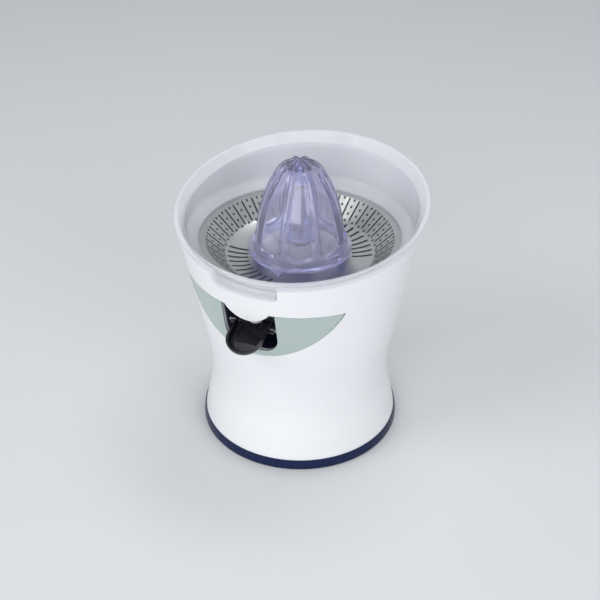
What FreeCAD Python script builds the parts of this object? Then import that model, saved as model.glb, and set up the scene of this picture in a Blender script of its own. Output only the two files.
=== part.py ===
import FreeCAD, Part
import math
import os
import re

import Sketcher

# Citrus press juicer: a waisted housing with a motor and a two-stage gearbox, a lift-off bowl,
# strainer and reamer, and a tilting spout. Millimetres and degrees, +Z up, origin on the floor
# at the centre of the base, the spout faces -Y.

SIZES = {
    # Housing: a waist between two bends, each running out into a cone
    "waist_radius": 66.6,
    "waist_height": 48.3,
    "upper_bend_radius": 150.0,
    "upper_flare": 11.0,
    "lower_bend_radius": 71.0,
    "lower_flare": 11.8,
    "body_wall": 3.2,
    "seam_height": 174.8,
    "seam_tilt": 6.8,
    "ledge_depth": 4.2,
    "ledge_thickness": 2.5,
    "ledge_slope": 5.0,
    # Base
    "base_radius": 75.0,
    "base_height": 6.1,
    "base_taper": 0.5,
    "base_edge": 0.8,
    "base_floor": 2.5,
    "spigot_height": 5.0,
    "spigot_wall": 2.0,
    "spigot_clearance": 0.3,
    "foot_height": 1.5,
    "foot_radius": 7.0,
    "foot_taper": 0.8,
    "foot_recess": 1.2,
    "foot_ring_radius": 58.0,
    "vent_count": 12,
    "vent_inner_radius": 22.0,
    "vent_outer_radius": 40.0,
    "vent_width": 3.0,
    # Screws
    "screw_radius": 1.5,
    "screw_clearance": 0.2,
    "screw_head_radius": 3.2,
    "screw_head_height": 1.6,
    "boss_turn": 45.0,
    "boss_radius": 4.5,
    "boss_bite": 0.8,
    "boss_height": 40.0,
    "boss_screw_depth": 12.0,
    "pad_radius": 6.0,
    # Crescent trim let into the front of the housing
    "trim_top": 141.7,
    "trim_drop": 40.5,
    "trim_arc_radius": 67.0,
    "trim_half_angle": 51.0,
    "trim_thickness": 0.8,
    "trim_clearance": 0.15,
    "trim_slit": 1.6,
    "lip_depth": 0.6,
    # U-shaped recess and the lobe that dips into its top
    "recess_half_width": 20.5,
    "recess_bottom": 106.5,
    "recess_corner": 12.0,
    "lobe_radius": 20.6,
    "lobe_half_width": 17.0,
    # Cup behind the recess
    "cup_half_angle": 14.7,
    "cup_side_angle": 2.0,
    "cup_wall": 2.0,
    "cup_clearance": 0.15,
    "cup_back_radius": 54.0,
    "cup_top": 144.0,
    "cup_back_top": 125.5,
    # Spout: a scoop that hangs from two pins
    "spout_half_width": 13.4,
    "spout_reach": 26.5,
    "spout_depth": 6.4,
    "spout_wall": 1.8,
    "spout_rear": 7.0,
    "spout_rear_wall": 0.6,
    "spout_round": 5.2,
    "spout_slope": 20.0,
    "pivot_drop": 3.0,
    "pivot_distance": 69.7,
    "pivot_height": 122.4,
    "pin_radius": 1.5,
    "pin_grip": 1.6,
    "running_fit": 0.05,
    "spout_ear_radius": 3.2,
    "spout_ear_length": 3.5,
    # Bowl
    "bowl_wall": 2.2,
    "bowl_clearance": 0.6,
    "rim_height": 8.1,
    "rim_tilt": 8.5,
    "skirt_proud": 0.4,
    "seam_gap": 0.2,
    "lip_width": 2.6,
    "rim_flare_height": 7.0,
    "rim_round": 0.9,
    "shelf_height": 163.5,
    "shelf_drop": 5.5,
    "shelf_round": 6.0,
    "seat_width": 3.5,
    "sump_radius": 63.0,
    "sump_height": 131.0,
    "sump_rise": 3.5,
    "tube_bore": 8.0,
    "tube_height": 152.0,
    "tab_half_angle": 16.3,
    "tab_bottom": 155.5,
    "tab_round": 4.0,
    "tab_clearance": 0.4,
    "outlet_distance": 64.0,
    "outlet_radius": 9.0,
    "outlet_height": 10.0,
    "nozzle_distance": 67.0,
    "nozzle_radius": 5.0,
    "nozzle_bottom": 125.4,
    # Strainer
    "strainer_radius": 72.1,
    "strainer_height": 156.4,
    "strainer_sheet": 0.8,
    "strainer_rim": 4.4,
    "strainer_clearance": 0.4,
    "strainer_floor_radius": 54.0,
    "strainer_floor": 143.8,
    "strainer_hole": 12.6,
    "slot_count": 48,
    "slot_width": 1.4,
    "slot_inner": 57.0,
    "slot_outer": 67.5,
    "dish_radius": 37.0,
    "dish_depth": 3.0,
    "dish_slot_count": 10,
    "dish_slot_inner": 37.5,
    "dish_slot_outer": 52.0,
    "dish_slot_width": 2.2,
    "near_slot_turn": 198.5,
    "far_slot_turn": 22.0,
    # Reamer
    "reamer_radius": 33.8,
    "reamer_base": 150.0,
    "reamer_top": 217.8,
    "ogive_radius": 109.5,
    "panel_depth": 2.4,
    "panel_bottom": 154.5,
    "panel_corner": 8.0,
    "panel_side_radius": 154.0,
    "panel_top": 216.6,
    "rib_count": 8,
    "rib_width": 4.2,
    "rib_turn": 4.3,
    "reamer_wall": 2.6,
    "reamer_core_top": 208.0,
    "flange_radius": 37.5,
    "flange_thickness": 2.5,
    "hub_radius": 9.0,
    "hub_bottom": 156.0,
    "wing_reach": 45.0,
    "wing_sweep": 52.0,
    "wing_turn": 278.0,
    "wing_root": 3.0,
    "wing_hook": 3.0,
    # Drive shaft, press travel and switch
    "shaft_radius": 4.0,
    "shaft_flat": 3.2,
    "shaft_top": 197.0,
    "shaft_chamfer": 0.6,
    "press_travel": 2.5,
    "press_room": 0.5,
    "collar_radius": 13.0,
    "collar_thickness": 3.0,
    "collar_room": 1.5,
    "spring_length": 11.0,
    "spring_radius": 6.0,
    "spring_wire": 1.0,
    "spring_sides": 8,
    "spring_turns": 4,
    "spring_clearance": 0.2,
    "switch_length": 20.0,
    "switch_width": 6.5,
    "switch_body": 8.0,
    "switch_offset": 11.6,
    "switch_peg_spread": 7.0,
    "switch_peg_radius": 1.5,
    "switch_post_radius": 2.8,
    "plunger_radius": 1.4,
    "plunger_lift": 3.2,
    "plunger_gap": 0.3,
    "plunger_depth": 3.0,
    # Deck and its tower
    "deck_height": 96.0,
    "deck_thickness": 2.5,
    "deck_clearance": 0.3,
    "deck_boss": 3.0,
    "deck_screw_depth": 4.0,
    "tower_bore": 20.0,
    "tower_wall": 2.0,
    "neck_bore": 7.0,
    "neck_wall": 3.0,
    "neck_height": 5.5,
    "seal_height": 5.0,
    # Gears and gearbox
    "gear_module": 1.0,
    "pinion_teeth": 12,
    "wheel_teeth": 48,
    "pressure_angle": 25.0,
    "gear_dedendum": 1.25,
    "backlash": 0.14,
    "gear_room": 2.0,
    "gearbox_wall": 2.0,
    "gearbox_floor": 2.5,
    "gear_headroom": 3.5,
    "output_face": 8.0,
    "output_hub_radius": 7.5,
    "output_foot": 2.0,
    "gear_plate_thickness": 2.5,
    "idler_face": 7.0,
    "idler_headroom": 3.0,
    "idler_footroom": 4.0,
    "idler_float": 0.5,
    "axle_radius": 3.0,
    "pinion_overlap": 1.5,
    "ear_radius": 5.0,
    "ear_offset": 2.5,
    "bush_wall": 2.5,
    "bush_boss_wall": 3.0,
    "bush_boss_height": 7.0,
    "hub_stand": 1.0,
    # Motor
    "motor_boss": 4.0,
    "motor_bolt_spread": 22.0,
    "motor_shaft_radius": 2.5,
    "motor_end_room": 10.0,
    "bracket_thickness": 1.6,
    "bracket_half_width": 7.0,
    "bearing_radius": 6.0,
    "bearing_length": 5.0,
    "stack_height": 20.0,
    "stator_half_width": 28.0,
    "stator_front": 21.0,
    "rotor_radius": 14.6,
    "air_gap": 0.4,
    "rotor_overhang": 1.0,
    "window_near": 20.0,
    "window_far": 35.0,
    "limb_thickness": 10.0,
    "window_half_width": 18.0,
    "coil_thickness": 5.0,
    "bobbin_wall": 1.2,
    "coil_clearance": 0.2,
    # Mains inlet in the back wall
    "gland_lift": 1.4,
    "gland_radius": 6.0,
    "gland_bore": 3.2,
    "gland_flange": 2.0,
    "gland_flange_radius": 8.5,
    "gland_clearance": 0.3,
    # How far cutting outlines run past the whole object
    "cut_reach": 120.0,
    "cut_top": 21.1,
    "cut_margin": 10.0,
}

doc = FreeCAD.newDocument("citrus_press_juicer")
sheet = doc.addObject("Spreadsheet::Sheet", "dims")
for row, (alias, number) in enumerate(SIZES.items(), start=1):
    sheet.set("A%d" % row, alias)
    sheet.set("B%d" % row, str(number))
    sheet.setAlias("B%d" % row, alias)
doc.recompute()

Vector = FreeCAD.Vector
UP = Vector(0, 0, 1)
NEAR = 1e-3
nodes = []


def cells(expression):
    """An expression in plain size names, written as one that reads the sheet."""
    def lookup(word):
        name = word.group()
        return "dims." + name if name in SIZES else name
    return re.sub(r"[a-z_]+", lookup, expression)


def size(expression):
    """The present value of an expression in plain size names."""
    return FreeCAD.Units.Quantity(sheet.evalExpression(cells(expression))).Value


# Derived places, as expressions in the sizes above

UPPER_TANGENT_HEIGHT = "(waist_height + upper_bend_radius * sin(upper_flare))"
UPPER_TANGENT_RADIUS = "(waist_radius + upper_bend_radius * (1 - cos(upper_flare)))"
LOWER_TANGENT_HEIGHT = "(waist_height - lower_bend_radius * sin(lower_flare))"
LOWER_TANGENT_RADIUS = "(waist_radius + lower_bend_radius * (1 - cos(lower_flare)))"
# The bowl's rim stands above the housing's seam, and cutting outlines run past the rim
RIM = "(seam_height + rim_height)"
CUT_TOP = "(%s + cut_top)" % RIM


def upper_radius(height):
    """Outer radius of the housing's upper cone at a height."""
    return "(%s + (%s - %s) * tan(upper_flare))" % (UPPER_TANGENT_RADIUS, height, UPPER_TANGENT_HEIGHT)


def lower_radius(height):
    """Outer radius of the housing's lower cone at a height."""
    return "(%s + (%s - %s) * tan(lower_flare))" % (LOWER_TANGENT_RADIUS, LOWER_TANGENT_HEIGHT, height)


def ogive(height, inset):
    """Radius of the reamer's ogive at a height, a given depth inside its ribs."""
    square = "(ogive_radius - (%s))^2 - (%s - reamer_base)^2" % (inset, height)
    return "(reamer_radius - ogive_radius + sqrt(%s))" % square


# The ogive runs into a ball tip: tip radius, its centre's height, and where the two meet
OGIVE_SETBACK = "(ogive_radius - reamer_radius)"
OGIVE_HEIGHT = "(reamer_top - reamer_base)"
TIP_RADIUS = "((ogive_radius^2 - %s^2 - %s^2) / (2 * (ogive_radius - %s)))" % (
    OGIVE_SETBACK, OGIVE_HEIGHT, OGIVE_HEIGHT)
TIP_SHARE = "((ogive_radius - (%%s)) / (ogive_radius - %s))" % TIP_RADIUS


def tip_joint(inset):
    """Radius and height where the ogive meets the ball tip, a given depth inside the ribs."""
    share = TIP_SHARE % inset
    radius = "(%s * (%s - 1))" % (OGIVE_SETBACK, share)
    height = "(reamer_base + (%s - %s) * %s)" % (OGIVE_HEIGHT, TIP_RADIUS, share)
    return radius, height


SPIGOT_RADIUS = "(%s - body_wall - spigot_clearance)" % lower_radius("(base_height + spigot_height)")
BOSS_RING = "(waist_radius - body_wall - boss_radius + boss_bite)"
FLOOR_TOP = "(foot_height + base_floor)"
GLAND_HEIGHT = "(base_height + spigot_height + gland_lift + gland_radius)"

COVER_TOP = "(deck_height - deck_boss)"
COVER_ROOF = "(%s - gearbox_floor)" % COVER_TOP
OUTPUT_TOP = "(%s - gear_headroom)" % COVER_ROOF
OUTPUT_BOTTOM = "(%s - output_face)" % OUTPUT_TOP
PLATE_TOP = "(%s - output_foot)" % OUTPUT_BOTTOM
PLATE_BOTTOM = "(%s - gear_plate_thickness)" % PLATE_TOP
IDLER_TOP = "(%s - idler_headroom)" % PLATE_BOTTOM
IDLER_BOTTOM = "(%s - idler_face)" % IDLER_TOP
GEARBOX_FLOOR_TOP = "(%s - idler_footroom)" % IDLER_BOTTOM
GEARBOX_BOTTOM = "(%s - gearbox_floor)" % GEARBOX_FLOOR_TOP
GEAR_DISTANCE = "(gear_module * (pinion_teeth + wheel_teeth) / 2)"
GEARBOX_BORE = "(gear_module * (wheel_teeth / 2 + 1) + gear_room)"
GEARBOX_RADIUS = "(%s + gearbox_wall)" % GEARBOX_BORE
EAR_SPREAD = "(%s + ear_offset)" % GEARBOX_RADIUS

BRACKET_TOP = "(%s - motor_boss)" % GEARBOX_BOTTOM
STACK_TOP = "(%s - motor_end_room)" % BRACKET_TOP
STACK_BOTTOM = "(%s - stack_height)" % STACK_TOP
BRACKET_BOTTOM = "(%s - motor_end_room)" % STACK_BOTTOM
STATOR_BACK = "(window_far + limb_thickness)"

BUSH_TOP = "(%s + bush_boss_height)" % COVER_TOP
HUB_TOP = "(%s + hub_stand)" % BUSH_TOP
COLLAR_BOTTOM = "(%s + spring_length)" % HUB_TOP
COLLAR_TOP = "(%s + collar_thickness)" % COLLAR_BOTTOM
SHAFT_BOTTOM = "(%s + press_travel + press_room)" % PLATE_TOP
TOWER_ROOF = "(%s + collar_room)" % COLLAR_TOP
TOWER_TOP = "(%s + tower_wall)" % TOWER_ROOF
SWITCH_TOP = "(%s - plunger_gap - plunger_lift)" % COLLAR_BOTTOM
SWITCH_BOTTOM = "(%s - switch_body)" % SWITCH_TOP

SEAT_HEIGHT = "(strainer_height - strainer_sheet)"
SEAT_RADIUS = "(strainer_radius + strainer_clearance)"
SHELF_INNER_HEIGHT = "(shelf_height - shelf_drop)"


def bowl_inside(height):
    """Inner radius of the bowl's upper wall, which stands inside the housing's cone."""
    return "(%s - body_wall - bowl_clearance - bowl_wall)" % upper_radius(height)


def sump_outside(height):
    """Outer radius of the bowl's lower wall, between its strainer seat and its floor."""
    share = "((%s) - sump_height) / (%s - sump_height)" % (height, SEAT_HEIGHT)
    seat_inside = "(%s - seat_width)" % SEAT_RADIUS
    return "(sump_radius + bowl_wall + (%s - sump_radius) * %s)" % (seat_inside, share)


# Building blocks for sketches and features

def new_body(label):
    body = doc.addObject("PartDesign::Body", label)
    body.Label = label
    return body


def origin_feature(body, role):
    return next(item for item in body.Origin.OriginFeatures if item.Role == role)


def sketch_on(body, name, plane, lift="0", turn=None):
    """Empty sketch on one of the body's origin planes, lifted off it and turned about the sketch's y."""
    sketch = body.newObject("Sketcher::SketchObject", name)
    sketch.AttachmentSupport = [(origin_feature(body, plane), "")]
    sketch.MapMode = "FlatFace"
    sketch.setExpression("AttachmentOffset.Base.z", cells(lift))
    if turn:
        sketch.AttachmentOffset = FreeCAD.Placement(Vector(), FreeCAD.Rotation(Vector(0, 1, 0), size(turn)))
        sketch.setExpression("AttachmentOffset.Rotation.Angle", cells(turn))
    return sketch


def pin_point(sketch, index, end, x, y):
    """Hold a point of the sketch at expressions for its x and y."""
    for kind, place in (("DistanceX", x), ("DistanceY", y)):
        number = sketch.addConstraint(Sketcher.Constraint(kind, -1, 1, index, end, size(place)))
        sketch.setExpression("Constraints[%d]" % number, cells(place))


def arc_between(start, end, bend):
    """Arc of less than half a turn; a positive bend turns left on the way from start to end."""
    chord = end - start
    radius = abs(bend)
    rise = math.sqrt(max(radius ** 2 - (chord.Length / 2) ** 2, 0.0))
    left = Vector(-chord.y, chord.x, 0) / chord.Length
    centre = (start + end) / 2 + left * math.copysign(rise, bend)
    ends = (start, end) if bend > 0 else (end, start)
    angles = [math.atan2(spot.y - centre.y, spot.x - centre.x) for spot in ends]
    return Part.ArcOfCircle(Part.Circle(centre, UP, radius), *angles)


def outline(sketch, corners):
    """Closed outline through corners (x, y), or (x, y, bend) where an arc leads to that corner."""
    spots = [Vector(size(corner[0]), size(corner[1]), 0) for corner in corners]
    pieces = []
    for number, corner in enumerate(corners):
        start, end = spots[number - 1], spots[number]
        if len(corner) == 2:
            index = sketch.addGeometry(Part.LineSegment(start, end))
            pieces.append((index, 1, 2))
            continue
        bend = size(corner[2])
        index = sketch.addGeometry(arc_between(start, end, bend))
        pieces.append((index, 1, 2) if bend > 0 else (index, 2, 1))
        limit = sketch.addConstraint(Sketcher.Constraint("Radius", index, abs(bend)))
        sketch.setExpression("Constraints[%d]" % limit, cells("abs(%s)" % corner[2]))
    for number, corner in enumerate(corners):
        index, _, finish = pieces[number]
        follower, begin, _ = pieces[(number + 1) % len(pieces)]
        sketch.addConstraint(Sketcher.Constraint("Coincident", index, finish, follower, begin))
        pin_point(sketch, index, finish, corner[0], corner[1])
    return sketch


def circle(sketch, x, y, radius):
    index = sketch.addGeometry(Part.Circle(Vector(size(x), size(y), 0), UP, size(radius)))
    limit = sketch.addConstraint(Sketcher.Constraint("Radius", index, size(radius)))
    sketch.setExpression("Constraints[%d]" % limit, cells(radius))
    pin_point(sketch, index, 3, x, y)
    return sketch


def box_outline(sketch, x_low, x_high, y_low, y_high):
    return outline(sketch, [(x_low, y_low), (x_high, y_low), (x_high, y_high), (x_low, y_high)])


def feature(body, kind, sketch, **settings):
    """A sketch-based feature; text settings are expressions, other settings are set as they are."""
    made = body.newObject("PartDesign::" + kind, sketch.Name.replace("_outline", "") + "_" + kind.lower())
    made.Profile = sketch
    if kind in ("Revolution", "Groove", "AdditiveHelix"):
        made.ReferenceAxis = (sketch, ["V_Axis"])
    if kind in ("Revolution", "Groove"):
        made.Angle = 360
    for setting, value in settings.items():
        if isinstance(value, str):
            made.setExpression(setting, cells(value))
        else:
            setattr(made, setting, value)
    return made


def pad(body, name, plane, lift, draw, length, **settings):
    """Pad of what draw puts into a new sketch."""
    sketch = sketch_on(body, name + "_outline", plane, lift)
    draw(sketch)
    return feature(body, "Pad", sketch, Length=length, **settings)


def pocket(body, name, plane, lift, draw, length, **settings):
    """Pocket of what draw puts into a new sketch; it has to take material away."""
    sketch = sketch_on(body, name + "_outline", plane, lift)
    draw(sketch)
    before = recomputed(body).Volume
    made = feature(body, "Pocket", sketch, Length=length, **settings)
    if recomputed(body).Volume >= before:
        raise RuntimeError("%s cuts nothing" % name)
    return made


def recomputed(body):
    doc.recompute()
    return body.Tip.Shape


def ring_of(body, name, originals, count, angle="360"):
    """Copies of features round the body's Z axis."""
    pattern = body.newObject("PartDesign::PolarPattern", name)
    pattern.Originals = originals
    pattern.Axis = (origin_feature(body, "Z_Axis"), [""])
    pattern.setExpression("Angle", cells(angle))
    pattern.setExpression("Occurrences", cells(count))
    body.Tip = pattern
    return pattern


def round_edges(body, name, wanted, radius, kind="Fillet"):
    """Fillet of the edges of the body's tip that a test picks out."""
    shape = recomputed(body)
    edges = ["Edge%d" % (number + 1) for number, edge in enumerate(shape.Edges) if wanted(edge)]
    made_on = body.Tip
    made = body.newObject("PartDesign::" + kind, name)
    made.Base = (made_on, edges)
    made.setExpression("Radius", cells(radius))
    return made


def cylinder(label, radius, height, x="0", y="0", z="0", taper=None):
    """Upright cylinder, or a cone that narrows downwards by taper."""
    made = doc.addObject("Part::Cone" if taper else "Part::Cylinder", label)
    made.setExpression("Height", cells(height))
    if taper:
        made.setExpression("Radius1", cells("%s - %s" % (radius, taper)))
        made.setExpression("Radius2", cells(radius))
    else:
        made.setExpression("Radius", cells(radius))
    for axis, place in (("x", x), ("y", y), ("z", z)):
        made.setExpression("Placement.Base." + axis, cells(place))
    return made


def group(label, members):
    made = doc.addObject("Part::Compound", label)
    made.Links = members
    return made


def keep(made, label):
    made.Label = label
    nodes.append(made)
    return made


def round_places(ring, first):
    """Four places, a quarter turn apart, on a ring about the axis."""
    turns = ["(%s + 90 * %d)" % (first, quarter) for quarter in range(4)]
    return [("%s * cos(%s)" % (ring, turn), "%s * sin(%s)" % (ring, turn)) for turn in turns]


def screws(label, places, head_bottom, length):
    """Pan-head screws, heads down, as a group of separate solids."""
    made = []
    for number, (x, y) in enumerate(places, start=1):
        name = "%s_%d" % (label, number)
        head = cylinder(name + "_head", "screw_head_radius", "screw_head_height", x, y, head_bottom)
        shank_bottom = "%s + screw_head_height" % head_bottom
        shank = cylinder(name + "_shank", "screw_radius", length, x, y, shank_bottom)
        whole = doc.addObject("Part::MultiFuse", name)
        whole.Shapes = [head, shank]
        made.append(whole)
    return keep(group(label, made), label)


# Housing

def recess_outline(sketch, top):
    """Front view of the U opening: straight sides and round lower corners under a given top."""
    side = "recess_half_width"
    corner_side = "(recess_half_width - recess_corner)"
    corner_top = "(recess_bottom + recess_corner)"
    outline(sketch, [
        ("-" + corner_side, "recess_bottom", "recess_corner"),
        (corner_side, "recess_bottom"),
        (side, corner_top, "recess_corner"),
        *top,
        ("-" + side, corner_top),
    ])


def cut_recess(body, name, top):
    """Cut the U opening through the front wall."""
    return pocket(body, name, "XZ_Plane", "0", lambda s: recess_outline(s, top), "cut_reach", Reversed=True)


LOBED_TOP = [
    ("recess_half_width", "trim_top"),
    ("lobe_half_width", "trim_top"),
    ("-lobe_half_width", "trim_top", "-lobe_radius"),
    ("-recess_half_width", "trim_top"),
]
OPEN_TOP = [
    ("recess_half_width", "cup_top"),
    ("-recess_half_width", "cup_top"),
]


def slanted_cut(body, name, height, tilt, above):
    """Take away all that lies above, or below, a plane that falls towards the front."""
    def region(sketch):
        far = CUT_TOP + " + cut_reach" if above else "-cut_reach"
        low = "%s - cut_reach * tan(%s)" % (height, tilt)
        high = "%s + cut_reach * tan(%s)" % (height, tilt)
        corners = [("-cut_reach", low), ("cut_reach", high), ("cut_reach", far), ("-cut_reach", far)]
        outline(sketch, corners if above else corners[::-1])
    return pocket(body, name, "YZ_Plane", "0", region, "2 * cut_reach", Midplane=True)


def front_sector(body, kind, name, corners, half_angle):
    """Turn a section about the axis over a sector that is centred on the front."""
    sketch = sketch_on(body, name + "_outline", "YZ_Plane")
    outline(sketch, [("-(%s)" % corner[0],) + tuple(corner[1:]) for corner in corners])
    return feature(body, kind, sketch, Angle="2 * (%s)" % half_angle, Midplane=True)


def is_tab_corner(bottom):
    """Test for the short radial edges at the lower corners of the key tab or its notch."""
    level = size(bottom)

    def wanted(edge):
        ends = [vertex.Point for vertex in edge.Vertexes]
        flat = all(abs(point.z - level) < NEAR for point in ends)
        straight = len(ends) == 2 and isinstance(edge.Curve, Part.Line)
        return flat and straight and abs(ends[0].x) > size("tab_round")
    return wanted


def crescent(label, clearance, proud, slit):
    """Crescent of the front wall: level top a slit below the lip, round lower edge, sunk at its top."""
    body = new_body(label)
    top = "(trim_top - %s)" % slit
    bottom = "(trim_top - trim_drop - %s)" % clearance
    foot = "(trim_top - trim_drop)"
    front_sector(body, "Revolution", label + "_sheet", [
        ("%s - trim_thickness - %s" % (upper_radius(foot), clearance), bottom),
        ("%s + %s" % (upper_radius(foot), proud), bottom),
        ("%s - lip_depth + %s" % (upper_radius(top), proud), top),
        ("%s - lip_depth - trim_thickness - %s" % (upper_radius(top), clearance), top),
    ], "trim_half_angle + %s" % clearance)

    def below_arc(sketch):
        radius = "(trim_arc_radius + %s)" % clearance
        chord = "sqrt(%s^2 - (trim_arc_radius - trim_drop)^2)" % radius
        outline(sketch, [
            ("0", bottom, "trim_arc_radius + %s" % clearance),
            (chord, "trim_top", "trim_arc_radius + %s" % clearance),
            ("cut_reach", "trim_top"),
            ("cut_reach", "-cut_reach"),
            ("-cut_reach", "-cut_reach"),
            ("-cut_reach", "trim_top"),
            ("-" + chord, "trim_top"),
        ])
    pocket(body, label + "_arc", "XZ_Plane", "0", below_arc, "cut_reach", Reversed=True)
    cut_recess(body, label + "_recess", OPEN_TOP)
    return body


def make_body_shell():
    body = new_body("housing_blank")
    sketch = sketch_on(body, "housing_outline", "XZ_Plane")
    ledge_foot = "(deck_height - ledge_thickness - ledge_slope)"
    ledge_edge = "%s - body_wall - ledge_depth" % upper_radius("deck_height")
    outline(sketch, [
        (lower_radius("base_height"), "base_height"),
        (LOWER_TANGENT_RADIUS, LOWER_TANGENT_HEIGHT),
        ("waist_radius", "waist_height", "-lower_bend_radius"),
        (UPPER_TANGENT_RADIUS, UPPER_TANGENT_HEIGHT, "-upper_bend_radius"),
        (upper_radius(CUT_TOP), CUT_TOP),
        (upper_radius(CUT_TOP) + " - body_wall", CUT_TOP),
        (upper_radius("deck_height") + " - body_wall", "deck_height"),
        (ledge_edge, "deck_height"),
        (ledge_edge, "deck_height - ledge_thickness"),
        (upper_radius(ledge_foot) + " - body_wall", ledge_foot),
        (UPPER_TANGENT_RADIUS + " - body_wall", UPPER_TANGENT_HEIGHT),
        ("waist_radius - body_wall", "waist_height", "upper_bend_radius"),
        (LOWER_TANGENT_RADIUS + " - body_wall", LOWER_TANGENT_HEIGHT, "lower_bend_radius"),
        (lower_radius("base_height") + " - body_wall", "base_height"),
    ])
    feature(body, "Revolution", sketch)
    first_x, first_y = round_places(BOSS_RING, "boss_turn")[0]
    boss = pad(body, "boss", "XY_Plane", "base_height",
               lambda s: circle(s, first_x, first_y, "boss_radius"), "boss_height")
    hole = pocket(body, "boss_hole", "XY_Plane", "base_height",
                  lambda s: circle(s, first_x, first_y, "screw_radius"), "boss_screw_depth", Reversed=True)
    ring_of(body, "bosses", [boss, hole], "4")
    slanted_cut(body, "seam", "seam_height", "seam_tilt", above=True)
    notch_bottom = "(tab_bottom - tab_clearance)"
    front_sector(body, "Groove", "notch", [
        (upper_radius(notch_bottom) + " - cut_margin", notch_bottom),
        (upper_radius(notch_bottom) + " + cut_margin", notch_bottom),
        (upper_radius(CUT_TOP) + " + cut_margin", CUT_TOP),
        (upper_radius(CUT_TOP) + " - cut_margin", CUT_TOP),
    ], "tab_half_angle + tab_clearance / %s * 180 / pi" % upper_radius(notch_bottom))
    round_edges(body, "notch_corners", is_tab_corner(notch_bottom), "tab_round")
    cut_recess(body, "recess", LOBED_TOP)
    pocket(body, "gland_hole", "XZ_Plane", "0",
           lambda s: circle(s, "0", GLAND_HEIGHT, "gland_radius"), "cut_reach")
    shell = doc.addObject("Part::Cut", "body_shell")
    shell.Base = body
    shell.Tool = crescent("trim_pocket", "trim_clearance", "body_wall", "0")
    keep(shell, "body_shell")


def make_front_trim():
    keep(crescent("front_trim", "0", "0", "trim_slit"), "front_trim")


# Base

def make_base():
    body = new_body("base_plate")
    sketch = sketch_on(body, "base_outline", "XZ_Plane")
    outline(sketch, [
        ("0", "foot_height"),
        ("base_radius - base_edge", "foot_height"),
        ("base_radius", "foot_height + base_edge"),
        ("base_radius - base_taper", "base_height"),
        (SPIGOT_RADIUS, "base_height"),
        (SPIGOT_RADIUS, "base_height + spigot_height"),
        (SPIGOT_RADIUS + " - spigot_wall", "base_height + spigot_height"),
        (SPIGOT_RADIUS + " - spigot_wall", FLOOR_TOP),
        ("0", FLOOR_TOP),
    ])
    feature(body, "Revolution", sketch)
    first_x, first_y = round_places(BOSS_RING, "boss_turn")[0]
    screw_pad = pad(body, "screw_pad", "XY_Plane", "foot_height",
                    lambda s: circle(s, first_x, first_y, "pad_radius"), "base_height - foot_height")
    screw_hole = pocket(body, "screw_hole", "XY_Plane", "foot_height",
                        lambda s: circle(s, first_x, first_y, "screw_radius + screw_clearance"),
                        "base_height", Reversed=True)
    head_room = pocket(body, "head_room", "XY_Plane", "foot_height",
                       lambda s: circle(s, first_x, first_y, "screw_head_radius + screw_clearance"),
                       "screw_head_height + screw_clearance", Reversed=True)
    foot_seat = pocket(body, "foot_seat", "XY_Plane", "foot_height",
                       lambda s: circle(s, "foot_ring_radius", "0", "foot_radius"),
                       "foot_recess", Reversed=True)
    ring_of(body, "base_quarters", [screw_pad, screw_hole, head_room, foot_seat], "4")
    vent = pocket(body, "vent", "XY_Plane", "foot_height",
                  lambda s: box_outline(s, "vent_inner_radius", "vent_outer_radius",
                                        "-vent_width / 2", "vent_width / 2"),
                  "base_height", Reversed=True)
    ring_of(body, "vents", [vent], "vent_count")
    keep(body, "base_plate")
    feet = []
    for number, (x, y) in enumerate(round_places("foot_ring_radius", "0"), start=1):
        feet.append(cylinder("foot_%d" % number, "foot_radius", "foot_height + foot_recess", x, y,
                             taper="foot_taper"))
    keep(group("rubber_feet", feet), "rubber_feet")
    screws("base_screws", round_places(BOSS_RING, "boss_turn"), "(foot_height + screw_clearance)",
           "base_height - foot_height + boss_screw_depth - screw_head_height - 2 * screw_clearance")


def make_cord_gland():
    """Rubber bush in the back wall for the mains lead."""
    body = new_body("cord_gland")
    sketch = sketch_on(body, "gland_outline", "XY_Plane", GLAND_HEIGHT)
    face = lower_radius(GLAND_HEIGHT)
    inner = "%s - 2 * body_wall" % face
    shoulder = "(%s + gland_clearance)" % lower_radius("(%s - gland_flange_radius)" % GLAND_HEIGHT)
    outer = "%s + gland_flange" % shoulder
    outline(sketch, [
        ("gland_bore", inner),
        ("gland_radius", inner),
        ("gland_radius", shoulder),
        ("gland_flange_radius", shoulder),
        ("gland_flange_radius", outer),
        ("gland_bore", outer),
    ])
    feature(body, "Revolution", sketch)
    keep(body, "cord_gland")


# Spout

def make_spout_housing():
    body = new_body("spout_housing")
    bottom = "(recess_bottom - cup_wall)"
    back = "(cup_back_radius - cup_wall)"
    bowl_side = "(%s + cup_wall)"
    front_bottom = upper_radius(bottom) + " - body_wall - cup_clearance"
    front_top = upper_radius("cup_top") + " - body_wall - cup_clearance"
    front_sector(body, "Revolution", "cup", [
        (back, bottom),
        (front_bottom, bottom),
        (front_top, "cup_top"),
        (bowl_side % sump_outside("cup_top"), "cup_top"),
        (bowl_side % sump_outside("cup_back_top"), "cup_back_top"),
        (back, "cup_back_top"),
    ], "cup_half_angle + cup_side_angle")
    front_sector(body, "Groove", "cup_inside", [
        ("cup_back_radius", "recess_bottom"),
        (upper_radius("recess_bottom"), "recess_bottom"),
        (upper_radius(CUT_TOP), CUT_TOP),
        ("cup_back_radius", CUT_TOP),
    ], "cup_half_angle")
    pocket(body, "cup_pin_holes", "YZ_Plane", "0",
           lambda s: circle(s, "-pivot_distance", "pivot_height", "pin_radius"),
           "cut_reach", Midplane=True)
    keep(body, "spout_housing")


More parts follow.
